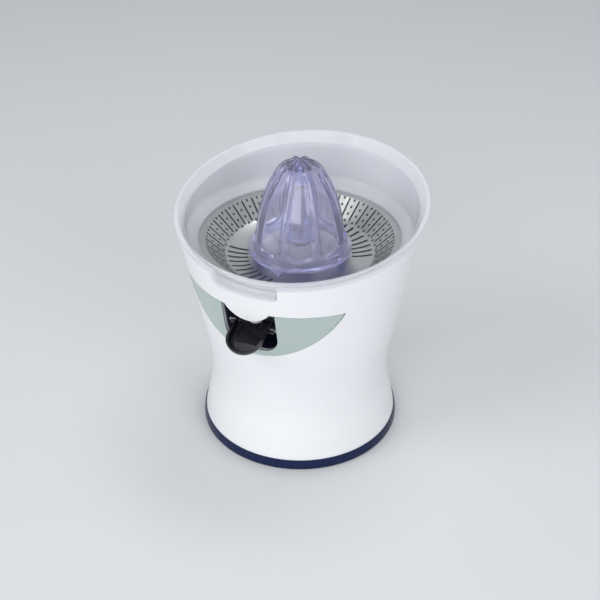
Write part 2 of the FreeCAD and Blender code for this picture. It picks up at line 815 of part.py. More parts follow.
def make_spout():
    """Scoop in its own frame: the pivot at its origin, the rim level, the tip towards -Y."""
    body = new_body("spout")
    straight = "(spout_reach - spout_half_width)"

    def plan(sketch):
        outline(sketch, [
            ("spout_half_width", "spout_rear"),
            ("-spout_half_width", "spout_rear"),
            ("-spout_half_width", "-" + straight),
            ("0", "-spout_reach", "spout_half_width"),
            ("spout_half_width", "-" + straight, "spout_half_width"),
        ])
    pad(body, "scoop", "XY_Plane", "pivot_drop", plan, "spout_depth", Reversed=True)
    low = size("pivot_drop - spout_depth")
    round_edges(body, "scoop_round",
                lambda e: abs(e.BoundBox.ZMax - low) < NEAR and e.BoundBox.YMin < 0,
                "spout_round")
    rim = size("pivot_drop")
    solid = recomputed(body)
    faces = ["Face%d" % (number + 1) for number, face in enumerate(solid.Faces)
             if abs(face.BoundBox.ZMin - rim) < NEAR]
    rounded = body.Tip
    hollow = body.newObject("PartDesign::Thickness", "scoop_inside")
    hollow.Base = (rounded, faces)
    hollow.Reversed = True
    hollow.setExpression("Value", cells("spout_wall"))
    inner_side = "(spout_half_width - spout_wall)"
    pocket(body, "rear_gap", "XY_Plane", "pivot_drop",
           lambda s: box_outline(s, "-" + inner_side, inner_side, "0", "2 * spout_rear"),
           "spout_depth - spout_wall - spout_rear_wall")
    ears = pad(body, "ear", "YZ_Plane", "spout_half_width - spout_wall",
               lambda s: circle(s, "0", "0", "spout_ear_radius"), "spout_wall + spout_ear_length")
    mirror = body.newObject("PartDesign::Mirrored", "ears")
    mirror.Originals = [ears]
    mirror.MirrorPlane = (origin_feature(body, "YZ_Plane"), [""])
    body.Tip = mirror
    pocket(body, "pin_bore", "YZ_Plane", "0", lambda s: circle(s, "0", "0", "pin_radius + running_fit"),
           "cut_reach", Midplane=True)
    body.Placement = FreeCAD.Placement(Vector(), FreeCAD.Rotation(Vector(1, 0, 0), size("spout_slope")))
    body.setExpression("Placement.Base.y", cells("-pivot_distance"))
    body.setExpression("Placement.Base.z", cells("pivot_height"))
    body.setExpression("Placement.Rotation.Angle", cells("spout_slope"))
    keep(body, "spout")
    inner = "(spout_half_width - spout_wall)"
    length = "(pivot_distance * tan(cup_half_angle) + pin_grip - %s)" % inner
    pins = []
    for name, start in (("pin_right", inner), ("pin_left", "-%s - %s" % (inner, length))):
        made = doc.addObject("Part::Cylinder", name)
        made.Placement = FreeCAD.Placement(Vector(), FreeCAD.Rotation(Vector(0, 1, 0), 90))
        made.setExpression("Radius", cells("pin_radius"))
        made.setExpression("Height", cells(length))
        made.setExpression("Placement.Base.x", cells(start))
        made.setExpression("Placement.Base.y", cells("-pivot_distance"))
        made.setExpression("Placement.Base.z", cells("pivot_height"))
        pins.append(made)
    keep(group("spout_pins", pins), "spout_pins")


# Bowl, strainer and reamer

def make_bowl():
    body = new_body("bowl")
    skirt_inside = "(%s + bowl_wall / 2)"
    skirt_outside = "(%s + skirt_proud)"
    skirt_bottom = "(tab_bottom - 2 * body_wall)"
    skirt = sketch_on(body, "skirt_outline", "XZ_Plane")
    outline(skirt, [
        (skirt_inside % bowl_inside(skirt_bottom), skirt_bottom),
        (skirt_outside % upper_radius(skirt_bottom), skirt_bottom),
        (skirt_outside % upper_radius(CUT_TOP), CUT_TOP),
        (skirt_inside % bowl_inside(CUT_TOP), CUT_TOP),
    ])
    feature(body, "Revolution", skirt)
    slanted_cut(body, "skirt_edge", "(seam_height + seam_gap)", "seam_tilt", above=False)
    tab_top = "(seam_height + %s) / 2 - base_radius * tan(seam_tilt)" % RIM
    front_sector(body, "Revolution", "tab", [
        (skirt_inside % bowl_inside("tab_bottom"), "tab_bottom"),
        (skirt_outside % upper_radius("tab_bottom"), "tab_bottom"),
        (skirt_outside % upper_radius(tab_top), tab_top),
        (skirt_inside % bowl_inside(tab_top), tab_top),
    ], "tab_half_angle")
    round_edges(body, "tab_corners", is_tab_corner("tab_bottom"), "tab_round")
    wall_foot = "(shelf_height - bowl_wall)"
    seat_under = "(%s - bowl_wall)" % SEAT_HEIGHT
    floor_under = "(sump_height - bowl_wall)"
    tube_outside = "(tube_bore + bowl_wall)"
    dish = sketch_on(body, "dish_outline", "XZ_Plane")
    outline(dish, [
        (bowl_inside(CUT_TOP), CUT_TOP),
        (bowl_inside("shelf_height"), "shelf_height"),
        (SEAT_RADIUS, SHELF_INNER_HEIGHT),
        (SEAT_RADIUS, SEAT_HEIGHT),
        (SEAT_RADIUS + " - seat_width", SEAT_HEIGHT),
        ("sump_radius", "sump_height"),
        (tube_outside, "sump_height + sump_rise"),
        (tube_outside, "tube_height"),
        ("tube_bore", "tube_height"),
        ("tube_bore", "sump_height + sump_rise - bowl_wall"),
        ("sump_radius + bowl_wall", floor_under),
        (sump_outside(seat_under), seat_under),
        (SEAT_RADIUS + " + bowl_wall", seat_under),
        (SEAT_RADIUS + " + bowl_wall", "%s - bowl_wall" % SHELF_INNER_HEIGHT),
        (bowl_inside(wall_foot) + " + bowl_wall", wall_foot),
        (bowl_inside(CUT_TOP) + " + bowl_wall", CUT_TOP),
    ])
    feature(body, "Revolution", dish)

    def on_shelf(edge):
        round_edge = isinstance(edge.Curve, Part.Circle)
        level = abs(edge.BoundBox.ZMax - size("shelf_height")) < NEAR
        return round_edge and level and abs(edge.Curve.Radius - size(bowl_inside("shelf_height"))) < NEAR
    round_edges(body, "shelf_bend", on_shelf, "shelf_round")
    pad(body, "outlet", "XY_Plane", floor_under,
        lambda s: circle(s, "0", "-outlet_distance", "outlet_radius"), "outlet_height + 2 * bowl_wall")
    sump = sketch_on(body, "sump_outline", "XZ_Plane")
    outline(sump, [
        ("sump_radius", "sump_height"),
        (SEAT_RADIUS + " - seat_width", SEAT_HEIGHT),
        (tube_outside, SEAT_HEIGHT),
        (tube_outside, "sump_height + sump_rise"),
    ])
    feature(body, "Groove", sump)
    pad(body, "nozzle", "XY_Plane", "nozzle_bottom",
        lambda s: circle(s, "0", "-nozzle_distance", "nozzle_radius"), "sump_height - nozzle_bottom")
    pocket(body, "outlet_inside", "XY_Plane", "sump_height",
           lambda s: circle(s, "0", "-outlet_distance", "outlet_radius - bowl_wall"),
           "outlet_height", Reversed=True)
    pocket(body, "nozzle_bore", "XY_Plane", "nozzle_bottom",
           lambda s: circle(s, "0", "-nozzle_distance", "nozzle_radius - bowl_wall / 2"),
           "sump_height - nozzle_bottom + bowl_wall", Reversed=True)
    slanted_cut(body, "rim", RIM, "rim_tilt", above=True)
    flare_rim(body)
    keep(body, "bowl")


def flare_rim(body):
    """Thin the wall to a lip: a bevel turned about an axis square to the rim, then rounded edges."""
    lip = "(%s + skirt_proud - lip_width)" % upper_radius(RIM)
    foot = "(%s - rim_flare_height * tan(upper_flare))" % bowl_inside(RIM)
    drift = "(%s * tan(upper_flare) * tan(rim_tilt))" % upper_radius(RIM)

    def spot(along, off):
        """Place in the side view, along the rim from its centre and off it."""
        y = "%s - (%s) * cos(rim_tilt) - (%s) * sin(rim_tilt)" % (drift, along, off)
        z = "%s + %s * tan(rim_tilt) - (%s) * sin(rim_tilt) + (%s) * cos(rim_tilt)" % (
            RIM, drift, along, off)
        return y, z
    sketch = sketch_on(body, "bevel_outline", "YZ_Plane")
    slope = "(%s - %s)" % (lip, foot)
    outline(sketch, [
        spot(foot, "-rim_flare_height"),
        spot("%s + %s" % (lip, slope), "rim_flare_height"),
        spot(foot, "rim_flare_height"),
    ])
    base_spot, top_spot = spot("0", "0"), spot("0", "rim_flare_height")
    ends = [Vector(size(place[0]), size(place[1]), 0) for place in (base_spot, top_spot)]
    axis = sketch.addGeometry(Part.LineSegment(*ends), True)
    pin_point(sketch, axis, 1, *base_spot)
    pin_point(sketch, axis, 2, *top_spot)
    bevel = feature(body, "Groove", sketch)
    bevel.ReferenceAxis = (sketch, ["Axis0"])

    def on_rim(edge):
        lean = size("tan(rim_tilt)")
        level = all(abs(v.Point.z - size(RIM) - v.Point.y * lean) < NEAR for v in edge.Vertexes)
        return level and edge.BoundBox.YLength > size("base_radius")
    round_edges(body, "rim_lip", on_rim, "rim_round")


def dish_bend(side):
    """Radius of the arc that leaves the strainer's flat bottom and meets its side at a given radius."""
    return "(((%s) - dish_radius)^2 + dish_depth^2) / (2 * dish_depth)" % side


def dish_slot(sketch, turn):
    """Slot along a radius of the strainer's dished floor, turned about the axis."""
    def spot(radius, side):
        across = "%s(dish_slot_width / 2)" % side
        x = "%s * cos(%s) - %s * sin(%s)" % (radius, turn, across, turn)
        y = "%s * sin(%s) + %s * cos(%s)" % (radius, turn, across, turn)
        return x, y
    outline(sketch, [
        spot("dish_slot_inner", "-"),
        spot("dish_slot_outer", "-"),
        spot("dish_slot_outer", ""),
        spot("dish_slot_inner", ""),
    ])


def make_strainer():
    body = new_body("strainer")
    sketch = sketch_on(body, "strainer_outline", "XZ_Plane")
    rim_inside = "(strainer_radius - strainer_rim)"
    bottom = "(strainer_floor - dish_depth)"
    under = "(%s - strainer_sheet)" % bottom
    foot = "strainer_floor_radius"
    foot_outside = "strainer_floor_radius + strainer_sheet"
    outline(sketch, [
        ("strainer_radius", "strainer_height"),
        (rim_inside, "strainer_height"),
        (foot, "strainer_floor"),
        ("dish_radius", bottom, "-" + dish_bend(foot)),
        ("strainer_hole", bottom),
        ("strainer_hole", under),
        ("dish_radius", under),
        (foot_outside, "strainer_floor - strainer_sheet", dish_bend(foot_outside)),
        (rim_inside + " + strainer_sheet", SEAT_HEIGHT),
        ("strainer_radius", SEAT_HEIGHT),
    ])
    feature(body, "Revolution", sketch)
    depth = "strainer_height - strainer_floor + dish_depth + 2 * strainer_sheet"
    slot = pocket(body, "slot", "XY_Plane", "strainer_height",
                  lambda s: box_outline(s, "slot_inner", "slot_outer", "-slot_width / 2", "slot_width / 2"),
                  depth)
    ring_of(body, "slots", [slot], "slot_count")
    for turn in ("near_slot_turn", "far_slot_turn"):
        slot = pocket(body, turn.replace("turn", "dish"), "XY_Plane", "strainer_height",
                      lambda s, first=turn: dish_slot(s, first), depth)
        ring_of(body, turn.replace("turn", "ring"), [slot], "dish_slot_count",
                "360 / slot_count * (dish_slot_count - 1)")
    keep(body, "strainer")


def make_petal(number):
    """One sunk panel between two ribs, as a tool: a thin ogive layer trimmed to a U in its front view."""
    name = "petal_%d" % number
    body = new_body(name)
    facing = "(rib_turn + 360 / rib_count * %d + 180 / rib_count)" % number
    layer = sketch_on(body, name + "_layer", "XZ_Plane", turn=facing)
    outer = "-reamer_wall"
    outline(layer, [
        ("0", "reamer_top - panel_depth"),
        tip_joint("panel_depth") + ("-(%s - panel_depth)" % TIP_RADIUS,),
        (ogive("reamer_base", "panel_depth"), "reamer_base", "-(ogive_radius - panel_depth)"),
        (ogive("reamer_base", outer), "reamer_base"),
        tip_joint(outer) + ("ogive_radius + reamer_wall",),
        ("0", "reamer_top + reamer_wall", "%s + reamer_wall" % TIP_RADIUS),
    ])
    feature(body, "Revolution", layer, Angle="360 / rib_count", Midplane=True)
    corner_height = "(panel_bottom + panel_corner)"
    half = "(%s * sin(180 / rib_count) - rib_width / 2 / cos(180 / rib_count))" % ogive(corner_height, "0")
    frame = sketch_on(body, name + "_frame", "XZ_Plane", turn=facing + " + 90")
    box_outline(frame, "-cut_reach", "cut_reach", "0", "2 * cut_reach")
    outline(frame, [
        ("-(%s - panel_corner)" % half, "panel_bottom", "panel_corner"),
        ("%s - panel_corner" % half, "panel_bottom"),
        (half, corner_height, "panel_corner"),
        ("0", "panel_top", "panel_side_radius"),
        ("-" + half, corner_height, "panel_side_radius"),
    ])
    feature(body, "Pocket", frame, Length="cut_reach", Reversed=True)
    return body


def make_reamer():
    body = new_body("reamer_blank")
    sketch = sketch_on(body, "reamer_outline", "XZ_Plane")
    flange_bottom = "(reamer_base - flange_thickness)"
    inside = "panel_depth + reamer_wall"
    outline(sketch, [
        ("0", "reamer_top", TIP_RADIUS),
        ("0", "hub_bottom"),
        ("hub_radius", "hub_bottom"),
        ("hub_radius", "reamer_core_top"),
        (ogive("reamer_core_top", inside), "reamer_core_top"),
        (ogive("reamer_base", inside), "reamer_base", "-(ogive_radius - panel_depth - reamer_wall)"),
        (ogive("reamer_base", inside), flange_bottom),
        ("flange_radius", flange_bottom),
        ("flange_radius", "reamer_base"),
        ("reamer_radius", "reamer_base"),
        tip_joint("0") + ("ogive_radius",),
    ])
    feature(body, "Revolution", sketch)

    def wing_outline(sketch):
        def spot(radius, turn):
            return "(%s) * cos(%s)" % (radius, turn), "(%s) * sin(%s)" % (radius, turn)
        outline(sketch, [
            spot("wing_reach", "wing_turn"),
            spot("flange_radius - wing_root", "(wing_turn + wing_hook)"),
            spot("flange_radius - wing_root", "(wing_turn - wing_sweep)"),
            spot("flange_radius", "(wing_turn - wing_sweep)"),
        ])
    wing = pad(body, "wing", "XY_Plane", flange_bottom, wing_outline, "flange_thickness")
    ring_of(body, "wings", [wing], "2")
    drive_bore(body, "socket", "hub_bottom", "shaft_top - hub_bottom", "running_fit")
    reamer = doc.addObject("Part::Cut", "reamer")
    reamer.Base = body
    reamer.Tool = group("petals", [make_petal(number) for number in range(int(SIZES["rib_count"]))])
    keep(reamer, "reamer")


def flatted_round(sketch, clearance):
    """Shaft section: a circle with one flat."""
    radius = "(shaft_radius + %s)" % clearance
    flat = "(shaft_flat + %s)" % clearance
    rise = "sqrt(%s^2 - %s^2)" % (radius, flat)
    outline(sketch, [
        (flat, rise),
        ("0", radius, radius),
        ("-" + radius, "0", radius),
        ("0", "-" + radius, radius),
        (flat, "-" + rise, radius),
    ])


def drive_bore(body, name, bottom, length, clearance):
    return pocket(body, name, "XY_Plane", bottom, lambda s: flatted_round(s, clearance), length,
                  Reversed=True)


# Drive shaft, spring and switch

def make_drive_shaft():
    body = new_body("drive_shaft")
    sketch = sketch_on(body, "shaft_outline", "XZ_Plane")
    outline(sketch, [
        ("0", SHAFT_BOTTOM),
        ("shaft_radius - shaft_chamfer", SHAFT_BOTTOM),
        ("shaft_radius", SHAFT_BOTTOM + " + shaft_chamfer"),
        ("shaft_radius", COLLAR_BOTTOM),
        ("collar_radius", COLLAR_BOTTOM),
        ("collar_radius", COLLAR_TOP),
        ("shaft_radius", COLLAR_TOP),
        ("shaft_radius", "shaft_top - shaft_chamfer"),
        ("shaft_radius - shaft_chamfer", "shaft_top"),
        ("0", "shaft_top"),
    ])
    feature(body, "Revolution", sketch)
    spans = (
        ("gear_flat", SHAFT_BOTTOM, "%s - %s + press_travel + press_room" % (HUB_TOP, SHAFT_BOTTOM)),
        ("cone_flat", "hub_bottom - press_room", "shaft_top - hub_bottom + press_room"),
    )
    for name, start, length in spans:
        pocket(body, name, "XY_Plane", start,
               lambda s: box_outline(s, "shaft_flat", "2 * shaft_radius", "-shaft_radius", "shaft_radius"),
               length, Reversed=True)
    keep(body, "drive_shaft")


def make_spring():
    """Return spring: an open helix between the gear's hub and the shaft's collar."""
    body = new_body("return_spring")
    sketch = sketch_on(body, "wire_outline", "XZ_Plane")
    foot = HUB_TOP + " + spring_wire / 2 + spring_clearance"
    corner = "(spring_wire / 2 / cos(180 / spring_sides))"
    turns = ["(360 / spring_sides * (%d + 1 / 2))" % side for side in range(int(SIZES["spring_sides"]))]
    outline(sketch, [
        ("spring_radius + %s * cos(%s)" % (corner, turn), "%s + %s * sin(%s)" % (foot, corner, turn))
        for turn in turns
    ])
    feature(body, "AdditiveHelix", sketch, Mode=2, Turns="spring_turns",
            Height="spring_length - spring_wire - 2 * spring_clearance")
    keep(body, "return_spring")


def make_switch():
    body = new_body("microswitch")
    half = "switch_length / 2"
    pad(body, "case", "XY_Plane", SWITCH_BOTTOM,
        lambda s: box_outline(s, "switch_offset - switch_width / 2", "switch_offset + switch_width / 2",
                              "-" + half, half),
        "switch_body")
    for side in ("", "-"):
        name = "peg_hole_" + ("left" if side else "right")
        pocket(body, name, "XY_Plane", SWITCH_BOTTOM,
               lambda s, sign=side: circle(s, "switch_offset", sign + "switch_peg_spread",
                                           "switch_peg_radius + running_fit"),
               "switch_body", Reversed=True)
    pocket(body, "plunger_hole", "XY_Plane", SWITCH_TOP,
           lambda s: circle(s, "switch_offset", "0", "plunger_radius + running_fit"),
           "plunger_depth + press_travel + press_room")
    keep(body, "microswitch")
    keep(cylinder("switch_plunger", "plunger_radius", "plunger_lift + plunger_depth", "switch_offset", "0",
                  SWITCH_TOP + " - plunger_depth"), "switch_plunger")


# Deck

def ear_places():
    return [("-" + EAR_SPREAD, "0"), (EAR_SPREAD, "0"),
            ("-" + EAR_SPREAD, GEAR_DISTANCE), (EAR_SPREAD, GEAR_DISTANCE)]


def circles_at(places, radius):
    def draw(sketch):
        for x, y in places:
            circle(sketch, x, y, radius)
    return draw


def make_deck():
    body = new_body("deck")
    sketch = sketch_on(body, "deck_outline", "XZ_Plane")
    edge = "%s - body_wall - deck_clearance" % upper_radius("deck_height")
    neck = "(neck_bore + neck_wall)"
    outline(sketch, [
        ("tower_bore", "deck_height"),
        (edge, "deck_height"),
        (edge, "deck_height + deck_thickness"),
        ("tower_bore + tower_wall", "deck_height + deck_thickness"),
        ("tower_bore + tower_wall", TOWER_TOP),
        (neck, TOWER_TOP),
        (neck, TOWER_TOP + " + neck_height"),
        ("neck_bore", TOWER_TOP + " + neck_height"),
        ("neck_bore", TOWER_ROOF),
        ("tower_bore", TOWER_ROOF),
    ])
    feature(body, "Revolution", sketch)
    pad(body, "deck_bosses", "XY_Plane", COVER_TOP, circles_at(ear_places(), "ear_radius"),
        "deck_boss + deck_thickness")
    pocket(body, "deck_screw_holes", "XY_Plane", COVER_TOP, circles_at(ear_places(), "screw_radius"),
           "deck_screw_depth", Reversed=True)
    keep(body, "deck")


def make_seal():
    """Lip seal in the neck of the tower."""
    body = new_body("shaft_seal")
    sketch = sketch_on(body, "seal_outline", "XZ_Plane")
    top = TOWER_TOP + " + neck_height"
    outline(sketch, [
        ("shaft_radius + running_fit", top),
        ("shaft_radius + running_fit", top + " - seal_height / 4"),
        ("neck_bore - neck_wall / 3", top + " - seal_height / 2"),
        ("neck_bore - neck_wall / 3", top + " - seal_height"),
        ("neck_bore", top + " - seal_height"),
        ("neck_bore", top),
    ])
    feature(body, "Revolution", sketch)
    keep(body, "shaft_seal")


# Gearbox

def stadium(sketch, radius):
    """Round-ended outline about the output axis and the idler's axis."""
    outline(sketch, [
        (radius, GEAR_DISTANCE),
        ("0", "%s + %s" % (GEAR_DISTANCE, radius), radius),
        ("-" + radius, GEAR_DISTANCE, radius),
        ("-" + radius, "0"),
        ("0", "-" + radius, radius),
        (radius, "0", radius),
    ])


def gearbox_block(label, bottom, height):
    """Solid block of the gearbox outline with its four screw columns."""
    body = new_body(label)
    pad(body, label + "_block", "XY_Plane", bottom, lambda s: stadium(s, GEARBOX_RADIUS), height)
    for number, place in enumerate(ear_places(), start=1):
        pad(body, "%s_ear_%d" % (label, number), "XY_Plane", bottom, circles_at([place], "ear_radius"),
            height)
    pocket(body, label + "_screw_holes", "XY_Plane", bottom,
           circles_at(ear_places(), "screw_radius + screw_clearance"), height, Reversed=True)
    return body


def make_gearbox():
    body = gearbox_block("gearbox_housing", GEARBOX_BOTTOM, "%s - %s" % (PLATE_BOTTOM, GEARBOX_BOTTOM))
    pocket(body, "lower_chamber", "XY_Plane", GEARBOX_FLOOR_TOP, lambda s: stadium(s, GEARBOX_BORE),
           "%s - %s" % (PLATE_BOTTOM, GEARBOX_FLOOR_TOP), Reversed=True)
    bolts = [("motor_bolt_spread", "0"), ("-motor_bolt_spread", "0")]
    pad(body, "motor_bosses", "XY_Plane", BRACKET_TOP, circles_at(bolts, "boss_radius"), "motor_boss")
    pocket(body, "motor_bolt_holes", "XY_Plane", BRACKET_TOP, circles_at(bolts, "screw_radius"),
           "motor_boss + gearbox_floor", Reversed=True)
    pocket(body, "pinion_hole", "XY_Plane", GEARBOX_BOTTOM,
           lambda s: circle(s, "0", "0", "gear_module * (pinion_teeth / 2 + 1) + gear_room / 2"),
           "gearbox_floor", Reversed=True)
    pocket(body, "axle_seat", "XY_Plane", GEARBOX_BOTTOM,
           lambda s: circle(s, "0", GEAR_DISTANCE, "axle_radius"), "gearbox_floor", Reversed=True)
    keep(body, "gearbox_housing")

    body = gearbox_block("gear_plate", PLATE_BOTTOM, "gear_plate_thickness")
    pocket(body, "idler_hole", "XY_Plane", PLATE_BOTTOM,
           lambda s: circle(s, "0", GEAR_DISTANCE, "gear_module * (pinion_teeth / 2 + 1) + gear_room"),
           "gear_plate_thickness", Reversed=True)
    keep(body, "gear_plate")

    body = gearbox_block("gearbox_cover", PLATE_TOP, "%s - %s" % (COVER_TOP, PLATE_TOP))
    pocket(body, "upper_chamber", "XY_Plane", PLATE_TOP, lambda s: stadium(s, GEARBOX_BORE),
           "%s - %s" % (COVER_ROOF, PLATE_TOP), Reversed=True)
    bush_outside = "(output_hub_radius + running_fit + bush_wall)"
    pad(body, "bush_boss", "XY_Plane", COVER_ROOF,
        lambda s: circle(s, "0", "0", bush_outside + " + bush_boss_wall"), "gearbox_floor + bush_boss_height")
    pegs = [("switch_offset", "switch_peg_spread"), ("switch_offset", "-switch_peg_spread")]
    for number, place in enumerate(pegs, start=1):
        pad(body, "switch_post_%d" % number, "XY_Plane", COVER_ROOF,
            circles_at([place], "switch_post_radius"), "%s - %s" % (SWITCH_BOTTOM, COVER_ROOF))
        pad(body, "switch_peg_%d" % number, "XY_Plane", COVER_ROOF,
            circles_at([place], "switch_peg_radius"), "%s - %s" % (SWITCH_TOP, COVER_ROOF))
    pocket(body, "bush_seat", "XY_Plane", COVER_ROOF, lambda s: circle(s, "0", "0", bush_outside),
           "gearbox_floor + bush_boss_height", Reversed=True)
    pocket(body, "axle_top_seat", "XY_Plane", COVER_ROOF,
           lambda s: circle(s, "0", GEAR_DISTANCE, "axle_radius"), "gearbox_floor", Reversed=True)
    keep(body, "gearbox_cover")

    bush = new_body("shaft_bush")

    def bush_ring(sketch):
        circle(sketch, "0", "0", bush_outside)
        circle(sketch, "0", "0", "output_hub_radius + running_fit")
    pad(bush, "bush", "XY_Plane", COVER_ROOF, bush_ring, "gearbox_floor + bush_boss_height")
    keep(bush, "shaft_bush")

    screws("gearbox_screws", ear_places(), "(%s - screw_head_height)" % GEARBOX_BOTTOM,
           "%s + deck_screw_depth - %s" % (COVER_TOP, GEARBOX_BOTTOM))
    keep(cylinder("idler_axle", "axle_radius", "%s - %s" % (COVER_TOP, GEARBOX_BOTTOM), "0", GEAR_DISTANCE,
                  GEARBOX_BOTTOM), "idler_axle")


def tooth_edges(teeth, turn):
    """Outline of an involute gear: flank arcs through three involute points, tips and roots straight."""
    module = size("gear_module")
    pitch = module * teeth / 2
    pressure = math.radians(size("pressure_angle"))
    base = pitch * math.cos(pressure)
    tip = pitch + module
    root = pitch - size("gear_dedendum") * module
    half_tooth = (math.pi * module / 2 - size("backlash")) / (2 * pitch)

    def involute(radius):
        roll = math.acos(min(base / radius, 1.0))
        return math.tan(roll) - roll

    def spot(radius, angle):
        return Vector(radius * math.cos(angle), radius * math.sin(angle), 0)
    start = max(base, root)
    flank = [start, (start + tip) / 2, tip]
    leans = [half_tooth + involute(pitch) - involute(radius) for radius in flank]
    edges = []
    for tooth in range(teeth):
        middle = math.radians(turn) + 2 * math.pi * tooth / teeth
        following = middle + 2 * math.pi / teeth
        rising = [spot(radius, middle - lean) for radius, lean in zip(flank, leans)]
        falling = [spot(radius, middle + lean) for radius, lean in zip(flank, leans)][::-1]
        edges.append(Part.Arc(*rising).toShape())
        edges.append(Part.LineSegment(rising[-1], falling[0]).toShape())
        edges.append(Part.Arc(*falling).toShape())
        valley = [falling[-1], spot(start, following - leans[0])]
        if root < start:
            valley.insert(1, spot(root, middle + leans[0]))
            valley.insert(2, spot(root, following - leans[0]))
        for here, there in zip(valley, valley[1:]):
            edges.append(Part.LineSegment(here, there).toShape())
    return edges


def toothed(teeth, turn, bottom, face):
    wire = Part.Wire(Part.__sortEdges__(tooth_edges(teeth, turn)))
    blank = Part.Face(wire).extrude(Vector(0, 0, size(face)))
    blank.translate(Vector(0, 0, size(bottom)))
    return blank


def rod(radius, bottom, top):
    return Part.makeCylinder(size(radius), size(top) - size(bottom), Vector(0, 0, size(bottom)))


def gear_node(label, shape, y="0"):
    made = doc.addObject("Part::Feature", label)
    made.Shape = shape.removeSplitter()
    made.Placement = FreeCAD.Placement(Vector(0, size(y), 0), FreeCAD.Rotation())
    return keep(made, label)


def make_gears():
    pinion_teeth = int(SIZES["pinion_teeth"])
    wheel_teeth = int(SIZES["wheel_teeth"])
    pinion_step = 360.0 / pinion_teeth
    wheel_step = 360.0 / wheel_teeth
    # The idler stands towards +Y: a tooth of the wheel on the axis points there, a gap of the idler meets it
    on_axis_wheel = 90.0
    on_axis_pinion = 90.0
    idler_pinion = -90.0 + pinion_step / 2
    idler_wheel = -90.0 + wheel_step / 2

    wheel = toothed(wheel_teeth, on_axis_wheel, OUTPUT_BOTTOM, "output_face")
    wheel = wheel.fuse(rod("output_hub_radius", PLATE_TOP, HUB_TOP))
    bore = rod("shaft_radius + running_fit", PLATE_TOP, HUB_TOP)
    flat = size("shaft_flat + running_fit")
    beyond = size("2 * shaft_radius")
    slab = Part.makeBox(beyond, 2 * beyond, size(HUB_TOP), Vector(flat, -beyond, 0))
    gear_node("output_gear", wheel.cut(bore.cut(slab)))

    idler = toothed(wheel_teeth, idler_wheel, IDLER_BOTTOM, "idler_face")
    pinion_top = "(%s + pinion_overlap)" % OUTPUT_TOP
    idler_length = "%s - %s" % (pinion_top, IDLER_TOP)
    idler = idler.fuse(toothed(pinion_teeth, idler_pinion, IDLER_TOP, idler_length))
    hub_bottom = "(%s + idler_float)" % GEARBOX_FLOOR_TOP
    idler = idler.fuse(rod("axle_radius + bush_wall", hub_bottom, IDLER_BOTTOM))
    idler = idler.cut(rod("axle_radius + running_fit", hub_bottom, pinion_top))
    gear_node("idler_gear", idler, GEAR_DISTANCE)

    pinion_bottom = "(%s - pinion_overlap)" % IDLER_BOTTOM
    pinion = toothed(pinion_teeth, on_axis_pinion, pinion_bottom, "idler_face + 2 * pinion_overlap")
    gear_node("motor_pinion", pinion.cut(rod("motor_shaft_radius", pinion_bottom, COVER_TOP)))


# Motor

